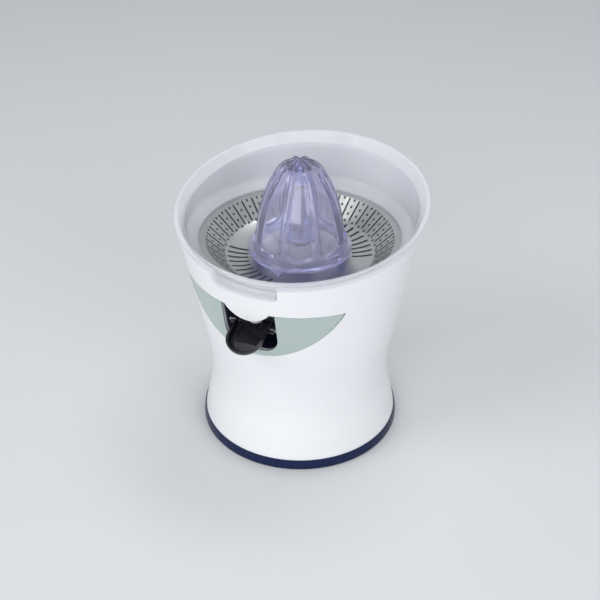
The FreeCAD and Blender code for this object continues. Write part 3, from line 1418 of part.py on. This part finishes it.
def make_motor():
    stator = new_body("stator_core")
    bolts = [("motor_bolt_spread", "0"), ("-motor_bolt_spread", "0")]
    side = "stator_half_width"
    pad(stator, "stack", "XY_Plane", STACK_BOTTOM,
        lambda s: box_outline(s, "-" + side, side, "-stator_front", STATOR_BACK), "stack_height")
    pocket(stator, "rotor_bore", "XY_Plane", STACK_BOTTOM,
           lambda s: circle(s, "0", "0", "rotor_radius + air_gap"), "stack_height", Reversed=True)
    pocket(stator, "coil_window", "XY_Plane", STACK_BOTTOM,
           lambda s: box_outline(s, "-window_half_width", "window_half_width", "window_near", "window_far"),
           "stack_height", Reversed=True)
    pocket(stator, "stack_bolt_holes", "XY_Plane", STACK_BOTTOM,
           circles_at(bolts, "screw_radius + screw_clearance"), "stack_height", Reversed=True)
    keep(stator, "stator_core")

    def ring_box(sketch, gap, thickness):
        """Section round the limb: an outer box with a box hole."""
        for extra in ("(%s + %s)" % (gap, thickness), gap):
            box_outline(sketch, "window_far - " + extra, STATOR_BACK + " + " + extra,
                        "%s - %s" % (STACK_BOTTOM, extra), "%s + %s" % (STACK_TOP, extra))

    half = "(window_half_width - coil_clearance)"
    bobbin = new_body("coil_bobbin")
    pad(bobbin, "sleeve", "YZ_Plane", "-" + half, lambda s: ring_box(s, "coil_clearance", "bobbin_wall"),
        "2 * " + half)
    flange_wall = "(bobbin_wall + coil_thickness)"
    for name, start in (("cheek_left", "-" + half), ("cheek_right", half + " - bobbin_wall")):
        pad(bobbin, name, "YZ_Plane", start, lambda s: ring_box(s, "coil_clearance", flange_wall),
            "bobbin_wall")
    keep(bobbin, "coil_bobbin")
    winding = new_body("coil_winding")
    inner_half = "(%s - bobbin_wall - coil_clearance)" % half
    pad(winding, "turns", "YZ_Plane", "-" + inner_half,
        lambda s: ring_box(s, "(2 * coil_clearance + bobbin_wall)", "(coil_thickness - 2 * coil_clearance)"),
        "2 * " + inner_half)
    keep(winding, "coil_winding")

    for label, strap_bottom, leg_bottom, hub_bottom in (
            ("motor_lower_bracket", BRACKET_BOTTOM, BRACKET_BOTTOM, BRACKET_BOTTOM),
            ("motor_upper_bracket", BRACKET_TOP + " - bracket_thickness", STACK_TOP,
             BRACKET_TOP + " - bearing_length")):
        bracket = new_body(label)
        reach = "(motor_bolt_spread + boss_radius)"
        pad(bracket, label + "_strap", "XY_Plane", strap_bottom,
            lambda s: box_outline(s, "-" + reach, reach, "-bracket_half_width", "bracket_half_width"),
            "bracket_thickness")
        for number, place in enumerate(bolts, start=1):
            pad(bracket, "%s_leg_%d" % (label, number), "XY_Plane", leg_bottom,
                circles_at([place], "boss_radius"), "motor_end_room")
        pad(bracket, label + "_hub", "XY_Plane", hub_bottom, circles_at([("0", "0")], "bearing_radius"),
            "bearing_length")
        pocket(bracket, label + "_bearing", "XY_Plane", hub_bottom,
               circles_at([("0", "0")], "motor_shaft_radius + running_fit"), "bearing_length", Reversed=True)
        pocket(bracket, label + "_bolt_holes", "XY_Plane", leg_bottom,
               circles_at(bolts, "screw_radius + screw_clearance"), "motor_end_room", Reversed=True)
        keep(bracket, label)

    screws("motor_screws", bolts, "(%s - screw_head_height)" % BRACKET_BOTTOM,
           "%s - %s + motor_boss" % (BRACKET_TOP, BRACKET_BOTTOM))

    rotor = new_body("rotor")
    sketch = sketch_on(rotor, "rotor_outline", "XZ_Plane")
    shaft_end = "(%s + pinion_overlap)" % IDLER_TOP
    outline(sketch, [
        ("0", BRACKET_BOTTOM),
        ("motor_shaft_radius", BRACKET_BOTTOM),
        ("motor_shaft_radius", STACK_BOTTOM + " - rotor_overhang"),
        ("rotor_radius", STACK_BOTTOM + " - rotor_overhang"),
        ("rotor_radius", STACK_TOP + " + rotor_overhang"),
        ("motor_shaft_radius", STACK_TOP + " + rotor_overhang"),
        ("motor_shaft_radius", shaft_end),
        ("0", shaft_end),
    ])
    feature(rotor, "Revolution", sketch)
    keep(rotor, "rotor")


make_body_shell()
make_front_trim()
make_base()
make_cord_gland()
make_spout_housing()
make_spout()
make_bowl()
make_strainer()
make_reamer()
make_drive_shaft()
make_spring()
make_switch()
make_deck()
make_seal()
make_gearbox()
make_gears()
make_motor()

doc.recompute()
for item in doc.Objects:
    if "Invalid" in item.State or "Error" in item.State:
        raise RuntimeError("%s failed: %s" % (item.Name, item.State))
for node in nodes:
    if node.Shape.isNull() or not node.Shape.isValid() or not node.Shape.Solids:
        raise RuntimeError("%s has no valid solid" % node.Label)

os.makedirs("parts", exist_ok=True)
for node in nodes:
    node.Shape.exportStep("parts/%s.step" % node.Label)
    print(node.Label, len(node.Shape.Solids), round(node.Shape.Volume, 1))
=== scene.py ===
import math

import bmesh
import bpy
from mathutils import Matrix, Vector


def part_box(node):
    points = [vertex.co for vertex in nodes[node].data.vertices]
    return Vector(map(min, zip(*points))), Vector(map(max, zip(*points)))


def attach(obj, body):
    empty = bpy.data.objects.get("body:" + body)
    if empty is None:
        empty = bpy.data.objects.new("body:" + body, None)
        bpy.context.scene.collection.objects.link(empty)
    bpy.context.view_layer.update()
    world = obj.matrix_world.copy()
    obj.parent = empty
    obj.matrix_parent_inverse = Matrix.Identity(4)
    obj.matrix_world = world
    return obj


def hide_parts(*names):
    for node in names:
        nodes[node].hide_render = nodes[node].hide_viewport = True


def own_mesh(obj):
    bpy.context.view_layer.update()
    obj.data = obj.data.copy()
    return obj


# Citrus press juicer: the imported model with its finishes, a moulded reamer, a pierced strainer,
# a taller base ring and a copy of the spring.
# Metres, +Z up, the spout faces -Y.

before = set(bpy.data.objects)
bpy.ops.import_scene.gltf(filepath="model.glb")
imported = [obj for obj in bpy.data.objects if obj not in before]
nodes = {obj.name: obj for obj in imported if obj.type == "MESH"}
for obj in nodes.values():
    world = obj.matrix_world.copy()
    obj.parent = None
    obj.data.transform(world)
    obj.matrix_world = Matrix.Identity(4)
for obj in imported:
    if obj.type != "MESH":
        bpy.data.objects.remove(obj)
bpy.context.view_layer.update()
MM = 0.001

# Camera of the photograph: where it looks, from which side, how far off, and its focal length
VIEW_TARGET = Vector((0.0, 0.0, 100.69 * MM))
VIEW_AZIMUTH = math.radians(26.8)
VIEW_ELEVATION = math.radians(34.14)
VIEW_DISTANCE = 837.73 * MM
FOCAL_PIXELS = 1127.08
FRAME_PIXELS = 600
SENSOR_WIDTH = 36.0

# Reamer: an ogive of ribs that runs into a ball tip, with a sunk panel between each two ribs
REAMER_FLOOR, REAMER_TOP = (corner.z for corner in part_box("reamer"))
FLANGE_THICKNESS = 2.5 * MM
REAMER_BASE = REAMER_FLOOR + FLANGE_THICKNESS
REAMER_RADIUS = 33.8 * MM
OGIVE_RADIUS = 109.5 * MM
PANEL_DEPTH = 2.4 * MM
PANEL_BOTTOM = 154.5 * MM
PANEL_CORNER = 8.0 * MM
PANEL_SLOPE = 0.9 * MM
REAMER_WALL = 2.6 * MM
RIB_COUNT = 8
RIB_WIDTH = 4.6 * MM
RIB_TIP_WIDTH = 1.0 * MM
RIB_TURN = math.radians(4.3)
HUB_BOTTOM = 156.0 * MM
HUB_RADIUS = 9.0 * MM
SOCKET_TOP = 197.0 * MM
SOCKET_RADIUS = 4.05 * MM
SOCKET_FLAT = 3.25 * MM
FLANGE_RADIUS = 37.5 * MM
FLANGE_ROUND = 0.7 * MM
FLANGE_BEVEL = 0.3 * FLANGE_ROUND
WING_REACH = 45.0 * MM
WING_TURN = math.radians(278.0)
WING_SWEEP = math.radians(52.0)
WING_HOOK = math.radians(3.0)
REAMER_STEP = math.radians(1.5)
OUTER_STEPS, INNER_STEPS = 90, 36

# Strainer: the slots of its wall run on to the foot, with columns of small holes between them
SLOT_COUNT = 48
SLOT_WIDTH = 1.36 * MM
SLOT_ENDS = 54.9 * MM, 57.4 * MM
PIERCING_RADII = [54.6 * MM, 58.7 * MM, 62.8 * MM, 66.8 * MM]
PIERCING_RADIUS = 0.85 * MM
PIERCING_SIDES = 12

# Base ring: it reaches almost down to the floor, with a lip up round the housing's leaning foot
RING_RADIUS = 75.03 * MM
RING_DEPTH = 2.0 * MM
RING_FLOOR, RING_SHOULDER, RING_TOP = 0.3 * MM, 2.3 * MM, 8.0 * MM
RING_EDGE = 0.4 * MM
FOOT_RADIUS, FOOT_HEIGHT = 73.88 * MM, 6.1 * MM
FOOT_LEAN = math.tan(math.radians(11.8))
LIP_GAP, LIP_WIDTH, LIP_ROUND = 0.12 * MM, 0.55 * MM, 0.2 * MM
RING_SIDES = 240
RING_START = 0.37

# Shading breaks at folds steeper than these, on meshes made here and on packed ones
MADE_FOLD = math.radians(40)
PACKED_FOLD = math.radians(28)

# Stage: how far the floor reaches each way, and the point that the lamps face
FLOOR_REACH = 4.0
LAMP_AIM = 0.0, 0.0, 0.12


# Materials

def material_of(name, colour, roughness, **sockets):
    """Principled material; other sockets by name, with underscores for spaces."""
    made = bpy.data.materials.new(name)
    made.use_nodes = True
    shader = made.node_tree.nodes["Principled BSDF"]
    shader.inputs["Base Color"].default_value = (*colour, 1.0)
    shader.inputs["Roughness"].default_value = roughness
    for socket, value in sockets.items():
        shader.inputs[socket.replace("_", " ")].default_value = value
    return made


def shader_of(made):
    return made.node_tree.nodes["Principled BSDF"]


def add_node(made, kind, **settings):
    node = made.node_tree.nodes.new("ShaderNode" + kind)
    for setting, value in settings.items():
        setattr(node, setting, value)
    return node


def link(made, source, target):
    made.node_tree.links.new(source, target)


def pattern(made, kind, scale, stretch=(1, 1, 1), **sockets):
    """Texture in the object's own coordinates; its value comes out of Fac, Distance or Color."""
    place = add_node(made, "TexCoord")
    mapping = add_node(made, "Mapping")
    mapping.inputs["Scale"].default_value = stretch
    texture = add_node(made, kind)
    texture.inputs["Scale"].default_value = scale
    for socket, value in sockets.items():
        texture.inputs[socket].default_value = value
    link(made, place.outputs["Object"], mapping.inputs["Vector"])
    link(made, mapping.outputs["Vector"], texture.inputs["Vector"])
    return texture


def value_of(texture):
    return texture.outputs["Fac"] if "Fac" in texture.outputs else texture.outputs["Distance"]


def relief(made, texture, depth):
    """Bump from a texture, depth in metres; several pile up."""
    bump = add_node(made, "Bump")
    bump.inputs["Distance"].default_value = depth
    link(made, value_of(texture), bump.inputs["Height"])
    normal = shader_of(made).inputs["Normal"]
    if normal.is_linked:
        link(made, normal.links[0].from_socket, bump.inputs["Normal"])
    link(made, bump.outputs["Normal"], normal)


def spread(made, texture, socket, low, high):
    """Let a texture move a socket between two values."""
    span = add_node(made, "MapRange")
    span.inputs["To Min"].default_value = low
    span.inputs["To Max"].default_value = high
    link(made, value_of(texture), span.inputs["Value"])
    link(made, span.outputs["Result"], shader_of(made).inputs[socket])


def tint(made, texture, dark, light):
    """Let a texture move the base colour between two colours."""
    ramp = add_node(made, "ValToRGB")
    ramp.color_ramp.elements[0].color = (*dark, 1.0)
    ramp.color_ramp.elements[1].color = (*light, 1.0)
    link(made, value_of(texture), ramp.inputs["Fac"])
    link(made, ramp.outputs["Color"], shader_of(made).inputs["Base Color"])


def shaded(colour, share):
    return tuple(channel * share for channel in colour)


def moulded(name, colour, roughness, grain=0.00002, mottle=0.97, **sockets):
    """Moulded plastic: slight mottling, a soft skin and a little spread of gloss."""
    made = material_of(name, colour, roughness, **sockets)
    tint(made, pattern(made, "TexNoise", 45.0, Detail=3.0), shaded(colour, mottle), colour)
    skin = pattern(made, "TexNoise", 900.0, Detail=4.0, Roughness=0.6)
    spread(made, skin, "Roughness", roughness * 0.85, roughness * 1.2)
    relief(made, skin, grain)
    return made


def steel(name, colour, roughness, stretch, grain=0.00001):
    """Metal with fine working marks along one direction."""
    made = material_of(name, colour, roughness, Metallic=1.0)
    marks = pattern(made, "TexNoise", 700.0, stretch, Detail=5.0, Roughness=0.65)
    spread(made, marks, "Roughness", roughness * 0.75, roughness * 1.35)
    relief(made, marks, grain)
    tint(made, pattern(made, "TexNoise", 60.0, Detail=2.0), shaded(colour, 0.92), colour)
    return made


def layered(name, colour, roughness, pitch, direction, metallic, depth):
    """Sheets or turns of wire that lie side by side."""
    made = material_of(name, colour, roughness, Metallic=metallic)
    bands = pattern(made, "TexWave", 1.0 / pitch / 20.0 * math.tau, Distortion=0.4, Detail=1.0)
    bands.wave_type = "BANDS"
    bands.bands_direction = direction
    relief(made, bands, depth)
    tint(made, bands, shaded(colour, 0.7), colour)
    return made


WHITE = moulded("white_gloss", (0.86, 0.87, 0.89), 0.24, Coat_Weight=0.35, Coat_Roughness=0.08)
NAVY = moulded("navy_gloss", (0.005, 0.014, 0.062), 0.26, mottle=0.85, Specular_IOR_Level=0.25)
DARK = moulded("dark_cup", (0.010, 0.013, 0.035), 0.38, mottle=0.8)
BLACK = moulded("black_gloss", (0.006, 0.006, 0.009), 0.2, mottle=0.7, Specular_IOR_Level=0.2,
                Coat_Weight=0.7, Coat_Roughness=0.03)
GREY = moulded("grey_moulding", (0.45, 0.46, 0.48), 0.5, grain=0.00004)
ACETAL = moulded("acetal", (0.80, 0.79, 0.73), 0.4)
RUBBER = moulded("rubber", (0.022, 0.022, 0.024), 0.75, grain=0.00006, mottle=0.8)
ZINC = steel("zinc_steel", (0.60, 0.61, 0.62), 0.3, (1, 1, 0.08))
BRONZE = steel("bronze", (0.66, 0.46, 0.22), 0.35, (1, 1, 0.2))
STAINLESS = steel("stainless", (0.58, 0.60, 0.59), 0.33, (1, 1, 1), grain=0.0000005)
LAMINATION = layered("lamination", (0.26, 0.27, 0.30), 0.45, 0.5 * MM, "Z", 0.9, 0.00006)
COPPER = layered("winding", (0.62, 0.26, 0.10), 0.32, 0.5 * MM, "X", 0.8, 0.0001)


def silver_paint():
    made = material_of("silver_trim", (0.52, 0.62, 0.60), 0.3, Metallic=0.75, Coat_Weight=0.4,
                       Coat_Roughness=0.12)
    flakes = pattern(made, "TexVoronoi", 5200.0)
    tint(made, flakes, (0.47, 0.57, 0.55), (0.62, 0.71, 0.69))
    spread(made, pattern(made, "TexNoise", 120.0, Detail=2.0), "Roughness", 0.26, 0.36)
    relief(made, flakes, 0.000004)
    return made


def add_depth(made, colour, density):
    """Colour that deepens with the thickness of a clear piece, density per metre."""
    depth = add_node(made, "VolumeAbsorption")
    depth.inputs["Color"].default_value = (*colour, 1.0)
    depth.inputs["Density"].default_value = density
    link(made, depth.outputs["Volume"], made.node_tree.nodes["Material Output"].inputs["Volume"])


def frosted():
    made = material_of("frosted_bowl", (0.90, 0.91, 0.96), 0.12, Transmission_Weight=0.08, IOR=1.48,
                       Alpha=0.5)
    skin = pattern(made, "TexNoise", 1600.0, Detail=4.0)
    spread(made, skin, "Roughness", 0.10, 0.16)
    relief(made, skin, 0.000002)
    tint(made, pattern(made, "TexNoise", 30.0, Detail=2.0), (0.88, 0.89, 0.95), (0.92, 0.93, 0.97))
    return made


def clear_violet():
    made = material_of("clear_violet", (0.90, 0.90, 1.0), 0.05, Transmission_Weight=0.86, IOR=1.47,
                       Coat_Weight=0.5, Coat_Roughness=0.12)
    flow = pattern(made, "TexNoise", 90.0, (1, 1, 0.4), Detail=3.0)
    spread(made, flow, "Roughness", 0.03, 0.06)
    relief(made, flow, 0.00001)
    add_depth(made, (0.36, 0.34, 0.97), 46.0)
    return made


NODE_FINISHES = {
    WHITE: ["body_shell"],
    silver_paint(): ["front_trim"],
    DARK: ["spout_housing"],
    BLACK: ["spout", "microswitch"],
    frosted(): ["bowl"],
    RUBBER: ["rubber_feet", "cord_gland", "shaft_seal"],
    GREY: ["deck", "gearbox_housing", "gearbox_cover"],
    ACETAL: ["output_gear", "idler_gear", "coil_bobbin", "switch_plunger"],
    BRONZE: ["shaft_bush", "motor_pinion"],
    LAMINATION: ["stator_core", "rotor"],
    COPPER: ["coil_winding"],
    ZINC: ["base_screws", "spout_pins", "drive_shaft", "gear_plate", "gearbox_screws",
           "idler_axle", "motor_lower_bracket", "motor_upper_bracket", "motor_screws"],
}
for finish, names in NODE_FINISHES.items():
    for name in names:
        nodes[name].data.materials.clear()
        nodes[name].data.materials.append(finish)


# Reamer

def rib_crest(share):
    """Point and outward normal (radius, height) on the ribs' crest, share 0 at the foot and 1 at the tip."""
    setback = OGIVE_RADIUS - REAMER_RADIUS
    rise = REAMER_TOP - REAMER_BASE
    ball = (OGIVE_RADIUS ** 2 - setback ** 2 - rise ** 2) / (2 * (OGIVE_RADIUS - rise))
    ball_height = REAMER_TOP - ball
    meeting = math.atan2(ball_height - REAMER_BASE, setback)
    ogive_length = OGIVE_RADIUS * meeting
    ball_length = ball * (math.pi / 2 - meeting)
    along = share * (ogive_length + ball_length)
    if along < ogive_length:
        angle = along / OGIVE_RADIUS
        spot = (-setback + OGIVE_RADIUS * math.cos(angle), REAMER_BASE + OGIVE_RADIUS * math.sin(angle))
    else:
        angle = meeting + (along - ogive_length) / ball
        spot = (ball * math.cos(angle), ball_height + ball * math.sin(angle))
    return spot, (math.cos(angle), math.sin(angle))


def panel_depth(turn, radius, height):
    """Depth of the sunk panels: ribs are rounded beads between them, and the foot has the same round."""
    pitch = math.tau / RIB_COUNT
    off_centre = (turn - RIB_TURN) % pitch - pitch / 2
    rib = RIB_TIP_WIDTH + (RIB_WIDTH - RIB_TIP_WIDTH) * radius / REAMER_RADIUS
    across = radius * pitch / 2 - rib / 2 - radius * abs(off_centre)
    above = height - PANEL_BOTTOM
    inside = min(across, above)
    if across < PANEL_CORNER and above < PANEL_CORNER:
        inside = PANEL_CORNER - math.hypot(PANEL_CORNER - across, PANEL_CORNER - above)
    back = rib / 2
    fall = min(max((inside + back) / (PANEL_SLOPE + back), 0.0), 1.0)
    return PANEL_DEPTH * (1 - math.sqrt(1 - fall * fall))


def flange_reach(turn):
    """Outer radius of the flange, with the two pulp wings."""
    turned = (turn - WING_TURN) % math.pi
    if turned < WING_HOOK:
        return max(FLANGE_RADIUS, WING_REACH - (WING_REACH - FLANGE_RADIUS) * turned / WING_HOOK)
    back = math.pi - turned
    if back > WING_SWEEP:
        return FLANGE_RADIUS
    tip = Vector((WING_REACH, 0.0))
    root = Vector((FLANGE_RADIUS * math.cos(WING_SWEEP), FLANGE_RADIUS * math.sin(WING_SWEEP)))
    edge = root - tip
    ray = Vector((math.cos(back), math.sin(back)))
    reach = (tip.x * edge.y - tip.y * edge.x) / (ray.x * edge.y - ray.y * edge.x)
    return max(FLANGE_RADIUS, reach)


def reamer_column(turn):
    """Section of the reamer at one angle, from the tip down its outside and up its inside."""
    column = []
    for step in range(1, OUTER_STEPS + 1):
        (radius, height), (out, up) = rib_crest(1 - step / OUTER_STEPS)
        depth = panel_depth(turn, radius, height)
        column.append((radius - depth * out, height - depth * up))
    reach = flange_reach(turn)
    column += [
        (REAMER_RADIUS + FLANGE_ROUND, REAMER_BASE),
        (reach - FLANGE_ROUND, REAMER_BASE),
        (reach - FLANGE_BEVEL, REAMER_BASE - FLANGE_BEVEL),
        (reach, REAMER_BASE - FLANGE_ROUND),
        (reach, REAMER_FLOOR + FLANGE_ROUND),
        (reach - FLANGE_BEVEL, REAMER_FLOOR + FLANGE_BEVEL),
        (reach - FLANGE_ROUND, REAMER_FLOOR),
    ]
    inset = PANEL_DEPTH + REAMER_WALL
    inner_radius = OGIVE_RADIUS - inset
    setback = OGIVE_RADIUS - REAMER_RADIUS
    column.append((inner_radius - setback, REAMER_FLOOR))
    core_angle = math.acos((setback + HUB_RADIUS) / inner_radius)
    for step in range(INNER_STEPS + 1):
        angle = core_angle * step / INNER_STEPS
        column.append((inner_radius * math.cos(angle) - setback,
                       REAMER_BASE + inner_radius * math.sin(angle)))
    lean = abs((turn + math.pi) % math.tau - math.pi)
    bore = SOCKET_RADIUS
    if lean < math.acos(SOCKET_FLAT / SOCKET_RADIUS):
        bore = SOCKET_FLAT / math.cos(lean)
    column += [(HUB_RADIUS, HUB_BOTTOM), (bore, HUB_BOTTOM), (bore, SOCKET_TOP)]
    return column


def neighbours(items):
    """Each item with the next one, and the last with the first."""
    return zip(items, items[1:] + items[:1])


def spun_mesh(name, columns, turns, top, bottom):
    """Closed mesh of section columns set round the axis, with a point at each end."""
    mesh = bmesh.new()
    rings = [[mesh.verts.new((radius * math.cos(turn), radius * math.sin(turn), height))
              for radius, height in column] for column, turn in zip(columns, turns)]
    first = mesh.verts.new((0.0, 0.0, top))
    last = mesh.verts.new((0.0, 0.0, bottom))
    for here, there in neighbours(rings):
        mesh.faces.new((first, here[0], there[0]))
        mesh.faces.new((last, there[-1], here[-1]))
        for row in range(len(here) - 1):
            mesh.faces.new((here[row], here[row + 1], there[row + 1], there[row]))
    bmesh.ops.recalc_face_normals(mesh, faces=mesh.faces)
    return as_piece(name, mesh)


def as_piece(name, mesh):
    data = bpy.data.meshes.new(name)
    mesh.to_mesh(data)
    mesh.free()
    piece = bpy.data.objects.new(name, data)
    bpy.context.scene.collection.objects.link(piece)
    smooth_between_folds(data, MADE_FOLD)
    return piece


def smooth_between_folds(data, sharp):
    """Smooth shading that breaks at folds steeper than the angle, from the faces as they are."""
    if "custom_normal" in data.attributes:
        data.attributes.remove(data.attributes["custom_normal"])
    data.shade_smooth()
    data.set_sharp_from_angle(angle=sharp)


def make_reamer():
    turns = [WING_TURN + REAMER_STEP * step for step in range(round(math.tau / REAMER_STEP))]
    piece = spun_mesh("moulded_reamer", [reamer_column(turn) for turn in turns], turns,
                      REAMER_TOP, SOCKET_TOP)
    piece.data.materials.append(clear_violet())
    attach(piece, "cone")
    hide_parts("reamer")


def combined(name, node, tool, operation):
    """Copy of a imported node's mesh, combined with a tool that is used up."""
    piece = bpy.data.objects.new(name, nodes[node].data.copy())
    bpy.context.scene.collection.objects.link(piece)
    combining = piece.modifiers.new("combining", "BOOLEAN")
    combining.object = tool
    combining.operation = operation
    combining.solver = "EXACT"
    graph = bpy.context.evaluated_depsgraph_get()
    made = bpy.data.meshes.new_from_object(piece.evaluated_get(graph))
    piece.modifiers.clear()
    piece.data = made
    bpy.data.objects.remove(tool)
    smooth_between_folds(made, PACKED_FOLD)
    made.materials.clear()
    return piece


# Strainer

def make_strainer():
    """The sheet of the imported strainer, with longer slots and columns of small holes between them."""
    low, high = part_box("strainer")
    height = high.z - low.z
    middle = (low.z + high.z) / 2
    punches = bmesh.new()
    for slot in range(SLOT_COUNT):
        pitch = math.tau / SLOT_COUNT
        near, far = SLOT_ENDS
        made = bmesh.ops.create_cube(punches, size=1.0)
        bmesh.ops.scale(punches, verts=made["verts"], vec=(far - near, SLOT_WIDTH, height))
        bmesh.ops.translate(punches, verts=made["verts"], vec=((near + far) / 2, 0.0, middle))
        bmesh.ops.rotate(punches, verts=made["verts"], cent=(0.0, 0.0, 0.0),
                         matrix=Matrix.Rotation(pitch * slot, 3, "Z"))
        turn = pitch * (slot + 0.5)
        for radius in PIERCING_RADII:
            made = bmesh.ops.create_cone(punches, cap_ends=True, segments=PIERCING_SIDES,
                                         radius1=PIERCING_RADIUS, radius2=PIERCING_RADIUS, depth=height)
            centre = Vector((radius * math.cos(turn), radius * math.sin(turn), middle))
            bmesh.ops.translate(punches, verts=made["verts"], vec=centre)
    piece = combined("pierced_strainer", "strainer", as_piece("punches", punches), "DIFFERENCE")
    piece.data.materials.append(STAINLESS)
    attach(piece, "sieve")
    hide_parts("strainer")


# Base

def make_base():
    """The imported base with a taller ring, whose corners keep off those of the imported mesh."""
    inside = RING_RADIUS - RING_DEPTH
    foot = FOOT_RADIUS + LIP_GAP
    lip = foot - (RING_TOP - FOOT_HEIGHT) * FOOT_LEAN
    section = [
        (inside, RING_FLOOR),
        (RING_RADIUS - RING_EDGE, RING_FLOOR),
        (RING_RADIUS, RING_FLOOR + RING_EDGE),
        (RING_RADIUS, RING_SHOULDER),
        (foot + LIP_WIDTH, FOOT_HEIGHT),
        (lip + LIP_WIDTH, RING_TOP - LIP_ROUND),
        (lip + LIP_WIDTH - LIP_ROUND, RING_TOP),
        (lip, RING_TOP),
        (foot + RING_EDGE * FOOT_LEAN, FOOT_HEIGHT - RING_EDGE),
        (inside, FOOT_HEIGHT - RING_EDGE),
    ]
    mesh = bmesh.new()
    turns = [math.tau * (side + RING_START) / RING_SIDES for side in range(RING_SIDES)]
    hoops = [[mesh.verts.new((radius * math.cos(turn), radius * math.sin(turn), height)) for turn in turns]
             for radius, height in section]
    for low, high in neighbours(hoops):
        for (low_here, low_there), (high_here, high_there) in zip(neighbours(low), neighbours(high)):
            mesh.faces.new((low_here, low_there, high_there, high_here))
    bmesh.ops.recalc_face_normals(mesh, faces=mesh.faces)
    piece = combined("ringed_base", "base_plate", as_piece("ring", mesh), "UNION")
    piece.data.materials.append(NAVY)
    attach(piece, "base")
    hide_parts("base_plate")


# Return spring

def make_spring():
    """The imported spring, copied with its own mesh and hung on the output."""
    piece = bpy.data.objects.new("squeezed_spring", nodes["return_spring"].data.copy())
    bpy.context.scene.collection.objects.link(piece)
    piece.data.materials.clear()
    piece.data.materials.append(ZINC)
    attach(piece, "output")
    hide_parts("return_spring")
    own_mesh(piece)


make_reamer()
make_strainer()
make_base()
make_spring()


# Stage

def make_floor():
    mesh = bmesh.new()
    bmesh.ops.create_grid(mesh, x_segments=1, y_segments=1, size=FLOOR_REACH)
    floor = as_piece("floor", mesh)
    paper = material_of("paper", (0.70, 0.71, 0.73), 0.7)
    floor.data.materials.append(paper)


def add_lamp(name, place, size, power):
    lamp = bpy.data.lights.new(name, "AREA")
    lamp.shape = "RECTANGLE"
    lamp.size, lamp.size_y = size
    lamp.energy = power
    made = bpy.data.objects.new(name, lamp)
    made.location = place
    made.rotation_euler = (Vector(LAMP_AIM) - Vector(place)).to_track_quat("-Z", "Y").to_euler()
    bpy.context.scene.collection.objects.link(made)


def make_camera():
    data = bpy.data.cameras.new("camera")
    data.sensor_width = SENSOR_WIDTH
    data.lens = SENSOR_WIDTH * FOCAL_PIXELS / FRAME_PIXELS
    camera = bpy.data.objects.new("camera", data)
    level = math.cos(VIEW_ELEVATION)
    way = Vector((level * math.sin(VIEW_AZIMUTH), -level * math.cos(VIEW_AZIMUTH), math.sin(VIEW_ELEVATION)))
    camera.location = VIEW_TARGET + VIEW_DISTANCE * way
    camera.rotation_euler = (-way).to_track_quat("-Z", "Y").to_euler()
    bpy.context.scene.collection.objects.link(camera)
    bpy.context.scene.camera = camera


def make_world():
    world = bpy.data.worlds.new("studio")
    world.use_nodes = True
    background = world.node_tree.nodes["Background"]
    background.inputs["Color"].default_value = (0.80, 0.82, 0.86, 1.0)
    background.inputs["Strength"].default_value = 0.55
    bpy.context.scene.world = world


make_floor()
make_world()
make_camera()
add_lamp("key", (-0.9, -1.1, 1.3), (0.8, 0.8), 9.0)
add_lamp("fill", (1.3, -0.7, 0.8), (0.8, 0.8), 5.0)
add_lamp("front", (0.35, -1.5, 0.75), (1.0, 1.0), 8.5)
add_lamp("top", (0.1, 0.5, 1.5), (0.8, 0.5), 5.0)
bpy.context.scene.view_settings.view_transform = "Standard"
